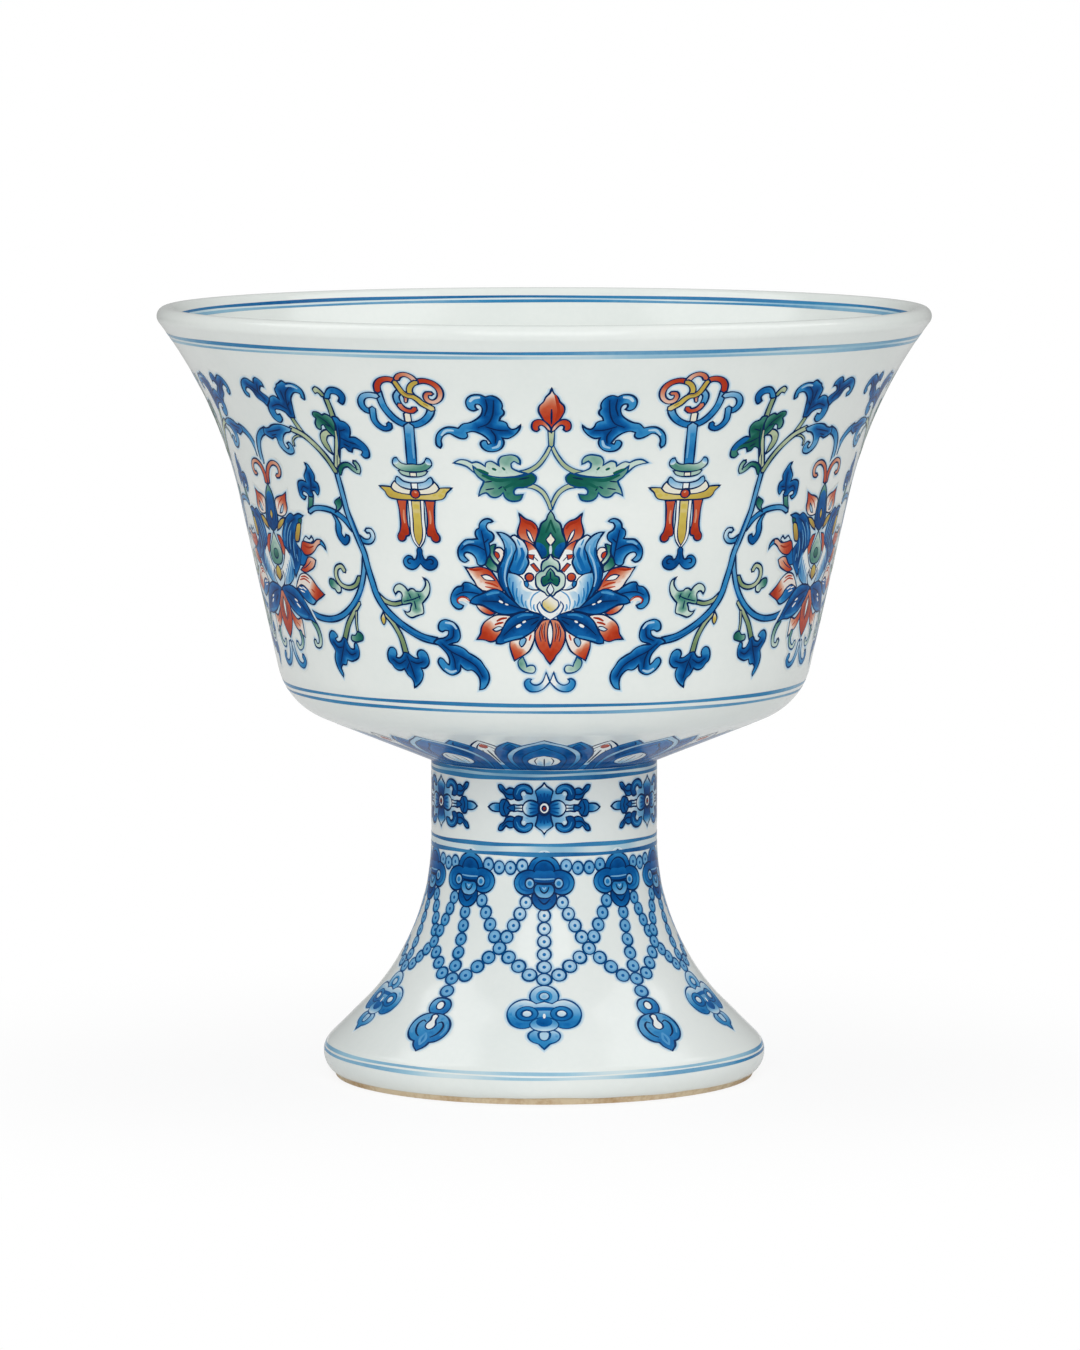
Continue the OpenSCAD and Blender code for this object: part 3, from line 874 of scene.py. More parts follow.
    d.shape("cobalt", "9.2,61.4 10,61.1! 10.6,61.5 11.4,61.6 12.3,61.3 13,60.4 13.1,59.4 12.7,58.4 "
            "12,58.1 11.4,58.4! 11.7,58.9 11.6,59.5 11.1,59.5 10.7,58.9 10.7,58 11.1,57 11.9,56.2 "
            "12.9,55.6 14,55.3 14.8,54.4! 15.6,54.6 16.6,54.6 17.6,54.1 18.5,53 18.8,51.8 18.7,50.7 "
            "18.2,50.3! 17.9,50.8 17.9,51.8 17.4,52.8 16.4,53.3 15.4,52.7 14.6,52.3 13.8,52.3 13.4,52.8 "
            "13.5,53.5! 12.6,53.8 11.6,53.5 10.6,52.8 10,52 9.7,51.4! 10.2,51.2 10.4,51.9 10.9,52 "
            "11.4,51.5 11.3,50.7 10.6,49.9 9.6,49.7 8.5,50 7.8,50.8 7.6,51.8 7.8,52.5! 7,52.4 6.2,52.8 "
            "5.5,53.5 5,54.4 4.85,55.2! 5.5,54.5 6.2,54.3 6.8,54.9 7,55.6 7.6,56 8.1,56.1! 7.9,56.8 "
            "7.4,57.4 7.3,58 7.6,58.6! 7.5,59.4 7.8,60.4 8.4,61.1", tone=(0.04, 0.56),
            vein="8.8,60.4 8.9,58.8 9.2,57 10,55.4 11.6,54.6; 6.8,54 8.4,54.1 10.4,54.8; 9,51.4 8.9,52.8 "
                 "9.6,54.2; 10,60.6 9.9,58.8 10.4,57")
    d.stroke("10.8,61 11.9,60.8 12.5,60", 0.6, "cobalt", 0.82)
    d.stroke("15.6,53.9 16.8,53.9 17.8,52.8", 0.5, "cobalt", 0.8)
    d.stroke("8.2,52 8.6,50.8 9.6,50.4", 0.5, "cobalt", 0.76)
    # curls under the flower
    d.lineTone = 0.75
    d.shape("green", "5.2,9.9! 6.2,9 6.1,8 5.3,7.1 4.1,6.7 3.1,6.8 2.8,7.4 3.1,8.1 4,8.2 4.5,8! 4.7,8.7 "
            "5,9.3", (5.8, 8.4), (3.3, 7.4), (0.62, 0.95), 0.3)
    d.shape("cobalt", "0,5! .75,6.9! 1.1,5.8 1.5,5 2.4,4.4 3.4,4.5 3.9,5.1 3.6,5.5! 4.2,5.6 5,5 4.9,4 "
            "4.1,3.2 2.8,3.05 1.5,3.5 .6,4.3", (4.2, 3.8), (1, 5.4), (0.5, 0.95), 0.3)
    return d


# The flower between, without a bud on top
def sideLotusDrawing():
    d = Drawing()
    d.ribbon("red", ".3,41.3 .6,43 1.5,44.6 3,45.4 4.4,45 4.9,44 4.5,42.9 3.7,42.8", (1.1, 0.8), (0, 41.5),
             (4.4, 45), (0.3, 0.72))
    d.shape("red", "2.1,38 3.4,38.7 4.7,39 6,39.7! 5.8,38 6,36.5 5.3,35.3 3.6,34.8 2.2,35.2 2,36.8",
            (5.6, 39.2), (3.4, 36.4), (0.12, 0.98))
    d.shape("cobalt", "3.4,35.4! 4,36.6 4.8,37.4! 4.7,36.4 4.1,35.5", tone=(0.8, 0.8), line=0.24)
    d.stroke("2.8,36.2 3.4,37.4 4.6,38.4", 0.3, "red", 0.15)
    d.shape("yellow", "1.6,31.8! 2.4,33.4 3.8,34.4 5,34.6! 4.2,33.4 3,32.4", (2, 32), (4.6, 34.4), (0, 0.5))
    d.shape("red", "1.3,31! 2.6,30.8 3.4,29.6 4.2,28 5,26.4! 3.7,26.7 2.9,27.4! 2.3,29 1.8,30", (1.8, 30.4),
            (4.4, 27), (0.2, 0.62), 0.26)
    d.shape("cobalt", "0,20.5! 2.5,20.9 4.8,21.8 6.4,23.4 6.4,25.2 5.9,26.6 5,28 4,28.6! 3.2,26.4 2.4,25 "
            "1.2,24 0,23.6!", (6.4, 22.8), (3, 25), (0.5, 1), 0.26)
    strands(d, 0.34, 0.2, ((1.6, 20.9, 1.6, 0.6), (2.6, 21.2, 2.4, 0.5), (3.3, 21.5, 3, 0.6),
                           (4, 21.8, 3.6, 0.4), (4.7, 22.2, 4, 0.5), (5.4, 22.8, 4, 0.35),
                           (5.9, 23.4, 3, 0.3)))
    d.shape("cobalt", "10.4,30.6! 11.2,31.4 12.2,30.9 12.8,31.5! 13.4,30.8 12.6,30.2 11,30.1",
            tone=(0.85, 0.85))
    d.shape("cobalt", "3.6,29! 3.4,31 4.3,33 5.5,34.8 7.1,35.6 7.9,35.2! 9.4,35.7 10.8,35.4! 9.7,34.4 "
            "9,33 8.1,32 8,30 9.3,28.5 9.6,27 8.5,25 6.8,23! 6.4,25 5.9,26.6 4.9,28", tone=(0, 0.36),
            vein="5,29.2 5.4,31.4 6.4,33.6 8,34.6; 6.6,25.4 6.9,27.6 6.6,29.6 7.2,31.8; 8.2,28.6 "
                 "7.9,26.4; 5.6,28 6,30")
    d.stroke("5.4,27.6 6.2,26.2 6.6,24.6", 0.5, "cobalt", 0.7)
    for path in ("4.2,30 4.5,31.8 5.5,33.6", "4.9,28.8 5.2,30.8 6,32.6 7,33.8", "6,28.4 6,30.4 6.6,32.2",
                 "7.3,26.8 7.1,28.8 7.4,30.6", "8.2,26.2 7.9,27.6"):
        d.stroke(path, 0.26, "cobalt", 0.64)
    d.shape("green", "9.2,34.6! 10.2,34.9 9.9,33.4 9.3,32.6", tone=(0.2, 0.2), line=0.26)
    d.shape("yellow", "8.2,32.4 9,33.8 9.6,33.9 9.5,31.5 8.9,30.2 8.1,30.1", (8.6, 30.4), (9.2, 33.4),
            (0, 0.45))
    d.shape("cobalt", "8.8,25.6! 9.4,27.6 9.6,29 10.8,28.4 11.4,27.2 10.2,25.6", tone=(0.15, 0.35),
            line=0.24)
    d.shape("red", "9.5,28.8! 10.1,30.3 11.7,30.2 13.2,30.2 14.4,31 15.5,30.9 16.5,30 16.8,29! 16.1,29.7 "
            "15.3,30.1 14.4,29.6 13.6,28.7 12.2,27.8 10.7,27.7", (10.6, 29), (13.6, 29.6), (0.15, 0.75))
    d.stroke("10.4,29.6 12,29.2 13.4,29.6", 0.4, "red", 0.05)
    d.shape("cobalt", "15.2,30.7 16,30.4 16.6,29.6 16.8,29! 16.1,29.7 15.3,30.1", tone=(0.55, 0.55),
            line=0.2)
    d.shape("red", "8.9,24.6! 10.6,26 11.6,27.3 13,27.2 13.8,26.8! 13.2,25.5 11.9,24.7 10.3,24.2",
            (9.6, 25), (12.8, 26.4), (0.2, 0.8))
    d.stroke("9.8,24.9 11.2,25.6 12.4,26.6", 0.26)
    d.shape("red", "7.2,22.2! 8.7,23.7 10.4,24 12,23.2 13.5,21.7 15.4,20.2! 14.4,19.6 12.9,18.8 11.9,18 "
            "10.2,18.2 8.7,19 6.4,20.8", (14, 20.2), (11, 22), (0.1, 1))
    for path in ("8.2,22.6 9.8,22.9 11.4,22.2", "8.6,23.2 10,23.4 11.2,23", "11.6,21 12.6,20.4"):
        d.stroke(path, 0.36, "red", 0.14)
    d.shape("cobalt", "6.6,20.8! 8.6,21.6 10.4,20.8 11.4,19.6 12.7,18.7! 11.6,18 10,18.3 8.4,19.2", (8, 20),
            (11.4, 18.8), (0.2, 0.6))
    for path in ("7.4,21.1 8.6,20.9", "7.8,20.5 9.2,20.2", "8.6,21.2 9.8,20.7"):
        d.stroke(path, 0.3, "cobalt", 0.92)
    d.ribbon("green", "10.6,14.8 11.9,13 12.3,11.3 11.8,10 10.6,10 10.3,10.8", (1.2, 0.8), (11, 14.5),
             (11.4, 10), (0.45, 0.9))
    d.shape("red", "2.2,17! 3.4,15.6 4.9,14.6 6.4,14.9 6.7,13 6.7,11.2! 5.3,12 3.7,13 2.6,14.6 2,16",
            (3, 15.4), (6, 12.6), (0.25, 0.98))
    d.stroke("4.4,14 5.6,13.2", 0.3, "red", 0.2)
    d.shape("red", "0,20 1.6,19.4 2.4,17.6 2.6,15.6 2.2,13.6 1.2,11.9 0,10.6!", (0, 11.8), (0, 18),
            (0.15, 0.55), sides="whole")
    d.stroke("0.9,18.4 1.2,16.4 .8,14.2", 0.3)
    d.stroke("1.6,17.8 1.8,16 1.4,14.2", 0.34, "red", 0.1)
    d.shape("cobalt", "0,18.8! .5,17.2 .4,15.6 0,14!", tone=(0.9, 0.9), line=0.3, sides="whole")
    d.shape("cobalt", "0,20.7! 1.8,21 4.3,21.2 6.5,20.5 8.4,18.8 9.8,17 11,15.2 11.7,14.2! 9.9,14.8 "
            "7.9,14.8 5.7,15.3 3.8,16.2 1.8,18", tone=(0.03, 0.38),
            vein="1.6,20 4.6,19.2 7.4,17.6 9.6,15.8; 2.4,18.8 4.4,17.4")
    d.stroke("5,18.6 6,18.2", 0.4, "cobalt", 0.92)
    d.stroke("5.6,17.8 6.8,17", 0.4, "cobalt", 0.9)
    d.stroke("5,16 7,15.5 9,15.4", 0.4, "cobalt", 0.5)
    # middle, from the pearl up to the bud
    d.shape("cobalt", "0,21.8! 1.6,23 2,24! 2.4,22.6 1.6,21.2 0,20.3!", tone=(0.85, 0.85), sides="whole")
    d.shape("yellow", "0,25! 1,24.2 1.1,23 0,21.8!", (-0.4, 22.6), (0.6, 24.6), (0.1, 0.7), 0.3,
            sides="whole")
    d.shape("green", "0,31.6! 1.1,29.8 2.4,28 2.6,26.6 1.8,25.4 0,25", (0, 26), (1, 30), (0.5, 0.95),
            sides="whole")
    d.disc("green", 0, 27.2, 1, (0.15, 0.5), 0.28, "one")
    d.shape("green", "0,41! .9,39.8 1.6,38.2 2.1,36.4 2.4,34.6 2.2,33.2 1.2,32.2 0,31.6", (0.4, 36),
            (-0.6, 40), (0.1, 0.55), sides="whole")
    d.shape("cobalt", "0,39.6 .9,39 1.5,37.8 2,36 2.2,34.4 2,33.2 1.2,32.4 0,31.8", (0, 33), (0, 39.4),
            (0.05, 0.4), 0, sides="whole")
    d.stroke("1.2,38.4 1.5,36 1.4,33.6", 0.3)
    d.shape("yellow", "0,36! .5,35 0,33.8!", tone=(0.4, 0.4), line=0.24, sides="whole")
    # curls under the flower
    d.lineTone = 0.7
    d.ribbon("green", "5.2,12.2 5.6,10.6 4.8,9.2 3.6,8.9 2.9,9.8", (0.9, 0.9), (5.4, 12), (3.4, 9),
             (0.5, 0.95))
    d.ribbon("cobalt", ".5,9.6 1.2,7.2 2.6,5.6 4.2,5.4 5.1,6.4 4.5,7.3", (1.1, 0.9), (4.6, 5.6), (0.6, 9),
             (0.45, 0.85))
    return d


# A jewelled pendant on a looped ribbon
def emblemDrawing():
    d = Drawing(0.29, 0.4)
    one = dict(sides="one")
    d.ribbon("cobalt", ".2,61.9 .8,61 .8,59.9 .4,58.8 -.4,58 -1.4,57.8 -1.9,58.3", (1.05, 1), (-1, 57.8),
             (0.8, 61.4), (0.4, 0.68), **one)
    d.ribbon("yellow", "-.45,57.2 -.45,56.2 -.45,55.1", (1.15, 1.15), (-0.8, 55), (-0.2, 57), (0.8, 1),
             **one)
    d.ribbon("cobalt", "-4.6,58.8 -4.4,57.6 -3.8,56.5 -2.9,55.6 -1.8,55 -.6,54.8", (1.2, 1.25),
             (-3.2, 55.6), (-4.4, 58), (0.42, 0.66), **one)
    d.ribbon("cobalt", "3.7,61.9 3.6,60.3 3.3,58.6 2.6,57.1 1.7,55.9 .6,55.1 -.4,54.8", (1.15, 1.2),
             (1.6, 55.8), (3.6, 61.4), (0.42, 0.68), **one)
    d.ribbon("cobalt", "-.4,54.7 -.2,51 0,47", (1.7, 1.75), (0, 50.6), (-0.5, 55.4), (0.44, 0.76), **one)
    d.stroke("-.8,53.6 -.6,50.6 -.5,48", 0.4, "cobalt", 0.66, **one)
    d.ribbon("red", ".5,64 1.1,64.5 1.9,64.6 2.9,64.2 3.6,63.2 3.75,61.9", (1.15, 1.15), (3, 63.2),
             (0.6, 64), (0.14, 0.45), **one)
    d.ribbon("red", "-2.5,64 -4,64.4 -5.2,64 -6.1,63 -6.4,61.6 -6,60.4 -5.1,59.8 -4.3,60.1 -4,60.9 "
             "-4.3,61.6 -5,61.6", (1.15, 0.8), (-3.8, 64.2), (-5.8, 60.2), (0.16, 0.8), **one)
    d.ribbon("red", "-2.7,64.4 -2.1,65.3 -1.2,65.75 -.3,65.4 .2,64.6", (0.95, 0.95), (0, 64.8),
             (-2.6, 64.8), (0.5, 0.78), **one)
    d.ribbon("red", ".55,59.1 .1,58.3 -.6,57.85 -1.4,57.8 -1.95,58.4", (1, 0.9), (-1.6, 57.9), (0.4, 58.9),
             (0.3, 0.6), **one)
    d.ribbon("red", "-.6,61.3 -.75,60.5 -.6,59.7", (0.8, 0.5), (-0.6, 61), (-0.7, 59.8), (0.5, 0.75), **one)
    d.ribbon("yellow", "-2.9,64.1 -2.2,63.6 -1.7,62.8 -1.55,61.9 -1.9,61", (1, 0.95), (-2.6, 63.8),
             (-1.6, 61.4), (0.35, 0.6), **one)
    d.ribbon("yellow", "-4.85,58.3 -4,58.9 -3.2,59.5 -2.6,60.3 -1.9,60.9 -1,61.1 -.3,61.8 .1,62.7 .6,64.1",
             (1.1, 0.9), (-4.6, 58.6), (-1, 61.4), (0.72, 0.4), **one)
    d.stroke("-1.9,61.1 -1,61.3 -.4,61.9", 0.3, "yellow", 0.05, **one)
    d.stroke("-4.2,58.9 -3.4,59.5", 0.3, "yellow", 0.1, **one)
    d.ribbon("cobalt", "4.1,60.8 5.3,61 6.4,60.7 7.1,59.7 7.1,58.5 6.5,57.7 5.7,57.5", (1.15, 1.1),
             (6.6, 57.8), (4.4, 61), (0.5, 0.76), **one)
    d.ribbon("cobalt", "5.4,58.1 5.5,57 5.5,55.6 4.8,54.4 3.8,53.9 3,54.3 3,55", (1.15, 0.9), (4, 54),
             (5.6, 57.6), (0.3, 0.62), **one)
    # collars
    d.shape("green", "0,45.5 1.4,45.5 2.1,45.6 2.7,45.5! 2.2,44.8 1.4,44.45 0,44.3", tone=(0.66, 0.8),
            sides="whole")
    d.shape("yellow", "0,45.2! .6,45.2! .6,44.4! 0,44.4!", tone=(0.9, 0.9), line=0.24, sides="whole")
    d.shape("green", "0,46.9 1.1,46.8 1.9,47 2.4,47.5 2.7,48.1! 3.1,48 3.5,47.4 3.5,46.7 3,46.1 2.2,45.6 "
            "1.2,45.35 0,45.3", (0.6, 45.5), (1, 46.8), (0.5, 0.84), sides="whole")
    d.shape("cobalt", "2.4,47.3 2.75,47.95! 3.1,47.9 3.4,47.3 3.4,46.8 2.8,46.8", (3, 47.8), (2.6, 46.8),
            (0.62, 0.92), 0)
    d.shape("cobalt", "0,43.1 1.2,43.2 2.1,43.5 2.7,44.1! 3.1,44.3 3.5,43.6 3.4,43 2.6,42.3 1.4,41.9 "
            "0,41.8", (0, 44.3), (0, 42), (0.66, 0.84), sides="whole")
    d.shape("cobalt", "0,43.1! .6,43.1! .6,41.9! 0,41.9!", tone=(0.97, 0.97), line=0.26, sides="whole")
    # canopy, gem and tassels
    d.shape("yellow", "0,41.4 2.2,41.6 3.4,42.2 4.4,42.2! 5.4,42.3 6.8,42.3! 6.2,41.7 5.8,41.3 5.5,40.6 "
            "5,40.1 4.2,39.9 0,39.8!", (4, 40), (3, 42.2), (0.35, 0.68), sides="whole")
    d.shape("yellow", "0,41.8 1.4,41.9 2.6,42.3 3.4,43! 3.7,43.4! 4.2,42.8 4.5,42.1! 4,41.5 2.8,41.05 "
            "1.2,40.85 0,40.8", (2, 41), (2.6, 42.8), (0.92, 1.05), 0.28, sides="whole")
    d.shape("red", "3.6,39.7! 1.7,39.7! 1.85,38.4 1.95,36.6 1.85,34.8 1.65,33.6 1.8,32.9 2.4,32.7! "
            "2.6,32.1 3.2,31.7 3.9,31.9 4.1,32.7 3.6,33.6! 3.35,34.6 3.3,36.6 3.4,38.4", (2.4, 33),
            (2.6, 37), (0.1, 0.4), 0.32)
    d.stroke("2.45,37.8 2.55,36.4 2.45,35.2", 0.4, "red", 0.66)
    d.shape("cobalt", "0,39.7! 1.5,39.7! 1.45,36 1.4,33 1.1,31.9 0,30.3!", tone=(0.95, 0.95), line=0.24,
            sides="whole")
    d.shape("yellow", "0,39.6! .85,39.6! .8,36 .8,33 .6,32 0,30.9!", (0.3, 32), (-0.4, 37), (0.4, 0.7),
            0.22, sides="whole")
    d.disc("red", 0, 41, 0.88, (0.22, 0.4), 0.34, "one")
    d.stroke("-.3,41.2 .1,41.4", 0.3, "red", 0.7, **one)
    d.shape("cobalt", "0,30.7! .45,30.3 .5,29.3 .8,28.4! 1.2,28.2 1.6,28.8 2.3,29 3,28.6 3.4,27.9 3.2,27 "
            "2.4,26.4 1.5,26.3 .7,26.7 0,27.5!", (0.2, 28.6), (2.8, 27), (0.14, 0.5), sides="whole")
    d.stroke("1.3,28.1 1.9,28.4 2.5,28.1 2.4,27.5 1.9,27.5", 0.3)
    d.stroke("0,29.8 0,28.2", 0.4, "cobalt", 0, **one)
    return d


# Vines, leaves and blossoms between two flowers; inner is the ink of the half leaf beside the emblem
def vineDrawing(inner):
    d = Drawing(sides="one")
    vine = (0.42, 0.62)
    petal = dict(tone=(0.01, 0.53))
    # stems
    d.ribbon("olive", "34.6,21.1 33.1,19.9 31.2,19.4 29.3,19.8", (1, 0.8), (30, 19.6), (34, 21), (0.6, 0.9))
    d.ribbon("olive", "33.6,17.6 31.6,15.2 30.5,13 29.8,9.8", (0.8, 1.2), (30, 10.5), (33, 17),
             (0.55, 0.85))
    d.ribbon("olive", "39.1,19.2 40.9,17.1 42.6,15 44.3,11.9", (0.8, 1.2), (44, 12.6), (40, 18),
             (0.5, 0.85))
    d.ribbon("olive", "40.2,17.4 40.6,15 40.6,13.2", (0.5, 0.5), (40.5, 13), (40.4, 17), (0.7, 0.95), 0.26)
    d.ribbon("green", "48,36.5 47.4,38 46.9,39.8", (1.1, 1.2), (47, 37), (47, 40), (0.3, 0.6))
    d.ribbon("olive", "39.4,44.7 38.9,46.8 38.4,48.6 37.9,50.4 37.5,52.4 37.3,54.6 37.3,56.6 37.5,60.4",
             (1.3, 0.9), (38, 52), (39, 46), (0.7, 0.95))
    d.stroke("39.2,45.4 38.6,48 38.1,50.4", 0.22)
    d.ribbon("olive", "44.8,51.7 46,54.3 46.7,56.4", (0.9, 0.8), (46.6, 56), (45, 52), (0.6, 0.95))
    d.ribbon("olive", "45,51.5 46.7,51.4 48,50.4 48.1,49.4", (0.5, 0.4), (45, 51), (48, 50), (0.7, 0.95),
             0.26)
    d.ribbon("green", "39.1,44.3 38,45.9 36.8,46.2 35.7,45.3 34.9,44.9 34.8,46 35.3,46.8", (1, 0.8),
             (38, 46), (35, 45), (0.2, 0.75))
    d.ribbon("cobalt", "37,32 35.8,31.3 34.6,31.4 33.9,32.4 34.3,33.4 35.1,33.4", (1, 0.9), (36.6, 31.6),
             (34, 33), (0.42, 0.85))
    d.ribbon("olive", "38.2,24.2 39.4,22.6 41.2,22 43,22.5 43.9,24 43.4,25.7 42.2,26.1 41.6,25.2",
             (0.9, 0.9), (38.4, 24), (43.6, 25), (0.6, 0.98))
    d.shape("green", "44,22.6! 44.8,23.4 45.8,23.4 46.1,22.4 45.6,21.7 44.8,21.5! 44.2,20.8 43.4,21 "
            "43.2,22", (45.6, 22.6), (43.8, 21.4), (0.4, 0.95))
    d.ribbon("cobalt", "38,33.4 39.9,35.5 42.1,36.75 44.6,37.2 46.8,37 48.2,36.3", (1.05, 0.95), (39, 34),
             (47, 37), vine)
    d.ribbon("cobalt", "36.3,28.6 36.8,26.1 37.7,23.3 39,20.8 41.2,18.3 44,16.4 47.1,15.5 50,15.5 53,16.2",
             (0.95, 1.2), (48, 15.6), (37, 25), vine)
    d.ribbon("cobalt", "22.9,12.5 25.9,13.2 28.7,14.6 31.2,16.4 33.4,18.6 34.8,21.1 35.4,23.6 35.9,26.1 "
             "36.3,28.9 37.1,31.4 38,34.2 38.8,36.8 39.1,39.3 39.4,42.4 39.6,45.2", (1.4, 0.95), (28, 14),
             (37.5, 33), vine)
    for path in ("24.4,12.6 27.4,13.6 30,15.2", "37.4,22.6 38.6,20.6 40.4,18.5",
                 "36.6,30.4 37.4,33.2 38.2,36"):
        d.stroke(path, 0.36, "cobalt", 0.22)
    d.ribbon("olive", "39.7,44.6 41.1,47.4 43,49.9 45,51.75 47.6,52.9", (0.95, 1.15), (41, 47), (44, 51),
             (0.7, 0.95), 0.36)
    d.ribbon("cobalt", "54.6,52.1 56.5,51.4 58.1,50 59.1,47.9 59.4,45.2", (1.4, 1), (55, 52), (60, 46),
             (0.45, 0.75))
    # blossoms and leaves
    d.shape("cobalt", "22.9,12.9 21.5,13.2 20.6,13.8 20.4,14.6! 21,14.7 21.7,14.4 22.3,14.7 22.4,15.5 "
            "22,16.3 20.9,16.8 20,16.6! 19.2,16.2 18.5,15.4 18.2,14.4! 18.2,13.4 18.7,12.6 19.9,12.2 "
            "20.6,11.9! 19,11.8 17.4,11.1 16.7,10.4! 15.6,9.8 14.5,9 13.7,7.8! 13.1,6.8 12.9,5.6 13.3,4.4 "
            "14.1,3.5 15,3.3! 14.8,4.4 14.9,5.6 15.5,6.5 16.4,7.1 17.2,7 18,7.4 18.5,8! 18.7,6.9 19.4,6.3 "
            "20.5,6 21.5,6.4 22.6,7.4 23.1,8.6 22.6,9.3 22,9.1 21.5,8.5! 20.9,8 20.7,8.8 21,9.9 21.7,10.8 "
            "22.8,11.8 23.6,12.2", **petal, vein="22,12 20.2,10.6 17.8,9.4 15.4,7.8 14.2,5.8; 20.4,10.8 "
                                                 "19.7,9 19.6,7.4; 21.2,12.6 19.7,13.4 19.4,15")
    d.stroke("18.8,15 19.6,16 21,16.2", 0.5, "cobalt", 0.78)
    d.stroke("19.4,6.9 20.6,6.6 21.8,7.2", 0.5, "cobalt", 0.78)
    d.shape("green", "30.6,21.3! 30.9,22.1 30.4,23 29.5,23.4 28.4,22.8 27.9,22.1! 27.4,22.5 26.7,22.5 "
            "26.3,22.1! 25.2,22.1 24.6,22.7 24.2,23.5 24.2,24.2 24.6,24.8! 23.7,24.2 23.4,23 23.7,21.6 "
            "24.5,20.5 25.2,19.8! 25.1,18.9 25.2,17.8 26,17.5! 26.8,17.2 27.7,16.9 28.7,17.4 29.2,18.2! "
            "28.5,17.9 27.9,18.2 27.7,18.9 27.4,19.6 29.4,19.5 29.4,20.5 29.2,21.3 29.5,21.8 29.9,21.9",
            tone=(0.42, 0.98), vein="29,20 27,20.5 25.4,21.2; 26.8,20.2 26.6,18.6; 27.4,20.6 27.8,21.6; "
                                    "25.6,20.6 25.9,21.6")
    d.shape("yellow", "33.7,17.8! 34.5,16.4 34,15.2 33.5,15.9", (34, 15.4), (33.9, 17.2), (0.4, 0.85))
    d.shape("cobalt", "29.3,9.9 28.6,9.4 27.8,9 27.2,9! 27.4,9.7 27,10.5 26.3,10.7 25.4,10.2 25,9.2 "
            "25,8.2 25.5,7.5 26.2,7.1 26.8,7.1! 26.5,6.2 26.7,5.2 27.3,4.3 28,3.7 28.8,3.2! 28.8,4.2 "
            "29.2,5 29.9,5.6 30.3,6.2 30.6,6.8! 31.3,6.5 32.1,6.5 32.8,6.9 33.3,7.6! 33.9,8.1 34.1,9 "
            "33.9,10 33.3,10.8 32.6,10.9 32,10.4 31.9,9.6! 32.1,9 31.4,8.9 30.7,9.4 30.3,10", **petal,
            vein="29.7,9.4 29,7.4 28.4,5; 29,8.4 27.6,8 26.2,8.4; 30,8.6 31.6,7.8 33,8.6; 29.4,8 30,6.8")
    d.shape("cobalt", "44.8,12.1 45.6,11.3 46.7,11.1 47.1,11.7! 46.3,12.2 46.7,12.8 47.7,13.2 48.7,12.4 "
            "48.8,11 48.1,9.9 47.7,9.2! 48.2,8 48.1,6.4 47.4,5 46.7,4.2! 46.5,4.7 46.8,6.1 46.2,6.7! "
            "45.2,6.7 44.6,7.7! 43.4,7.5 42.4,7.8! 41.5,8.3 41,9.6 41.2,10.8 41.5,11.4! 42,11 42.3,10 "
            "43.1,10 43.7,10.8 44,11.8", **petal, vein="44.6,11.4 45.6,9.2 46.9,6.6; 45.2,10.2 46.6,10 "
                                                       "47.9,11; 44.6,9.8 43.2,8.8 42,9.2")
    d.shape("green", "40.7,13.5! 41.5,12.7 42.3,12.7 42.6,11.8 41.8,11.4 40.4,11.6 39.6,11.9 39.4,12.7 "
            "39.9,13.3", (40.2, 12), (42, 12.4), (0.2, 0.6))
    d.shape("green", "40,39.6! 41.4,38.5 41.1,37.7 41.6,36.6! 40.5,37.2 39.7,38.3", (40.2, 39), (41.2, 37),
            (0.15, 0.6))
    d.shape("cobalt", "42.7,36.6! 41.9,34.9 42.1,33 41.7,31.4 40.5,30.3 39.4,31 39.2,32.1 39.9,32.4! "
            "40.3,31.8 40.8,32.4 40.7,33.9 41.4,35.5", (41, 31), (41.8, 35), (0.2, 0.55))
    d.shape("cobalt", "46.4,40.5 45.8,40.5! 45.2,39.7 44.6,40.5 44.7,42.1 45.3,42.5! 45,43.6 45.5,44.9 "
            "46.1,45.8 46.7,46! 46.5,45.2 47.1,44.2 47.7,43.3 47.5,42.1! 48.3,42.4 49.6,42.1 50.1,40.5 "
            "49.9,39.2 48.9,38.6 48.3,39.2! 49.1,39.6 48.9,40.2 48,40 47.4,39.3 46.4,39.4", **petal,
            vein="46.8,40.2 46.3,42 46.2,44; 47.4,40.8 48.6,41.2 49.3,40.4; 46.2,41.2 45.3,41.2")
    d.shape("olive", "38.4,52.9 39.8,53.1 41,52.2 41.2,50.6 40.6,49.2 39.4,48! 39.7,49.6 40,51 39.4,51.9 "
            "38.4,52!", (40.9, 50), (39.6, 52.4), (0.72, 1))
    d.shape("green", "38.1,56.2 38.8,56.5 39.4,56.2! 40.2,56.8 41.2,56.7 41.4,56.1 40.9,55.4! 41.4,54.4 "
            "41.2,53.3 40.6,53.1 40.3,53.9! 39.8,54.2 39.4,53.2 38.8,52.4 38,51.6! 37.5,53.6 37.4,55.4",
            tone=(0.05, 0.5), vein="37.9,53 38.8,54.6 40.4,56; 38.4,53.8 39.4,54.4")
    d.shape(inner, "37.4,56 36.5,55.9 36.1,55.2! 35.2,54.9 34.6,54 34.7,52.8 35.1,51.8! 34.2,51.9 "
            "33.2,51.3 32.3,50.3 31.9,49 32.2,47.9 33,47.7 33.6,48.3! 33.2,49 34,49.5 34.9,49.6 "
            "35.3,48.8! 36,49 36.6,49.7 37.4,49.4 38.2,47.6! 38,50 37.5,52.4 37.3,54.4", tone=(0.03, 0.4),
            vein="37.9,49 37.2,51.2 36.8,53.6; 37,51.6 35.4,50.8 33.6,50.4; 36.9,53 35.6,53.4; 36.6,50.4 "
                 "35.6,49.8")
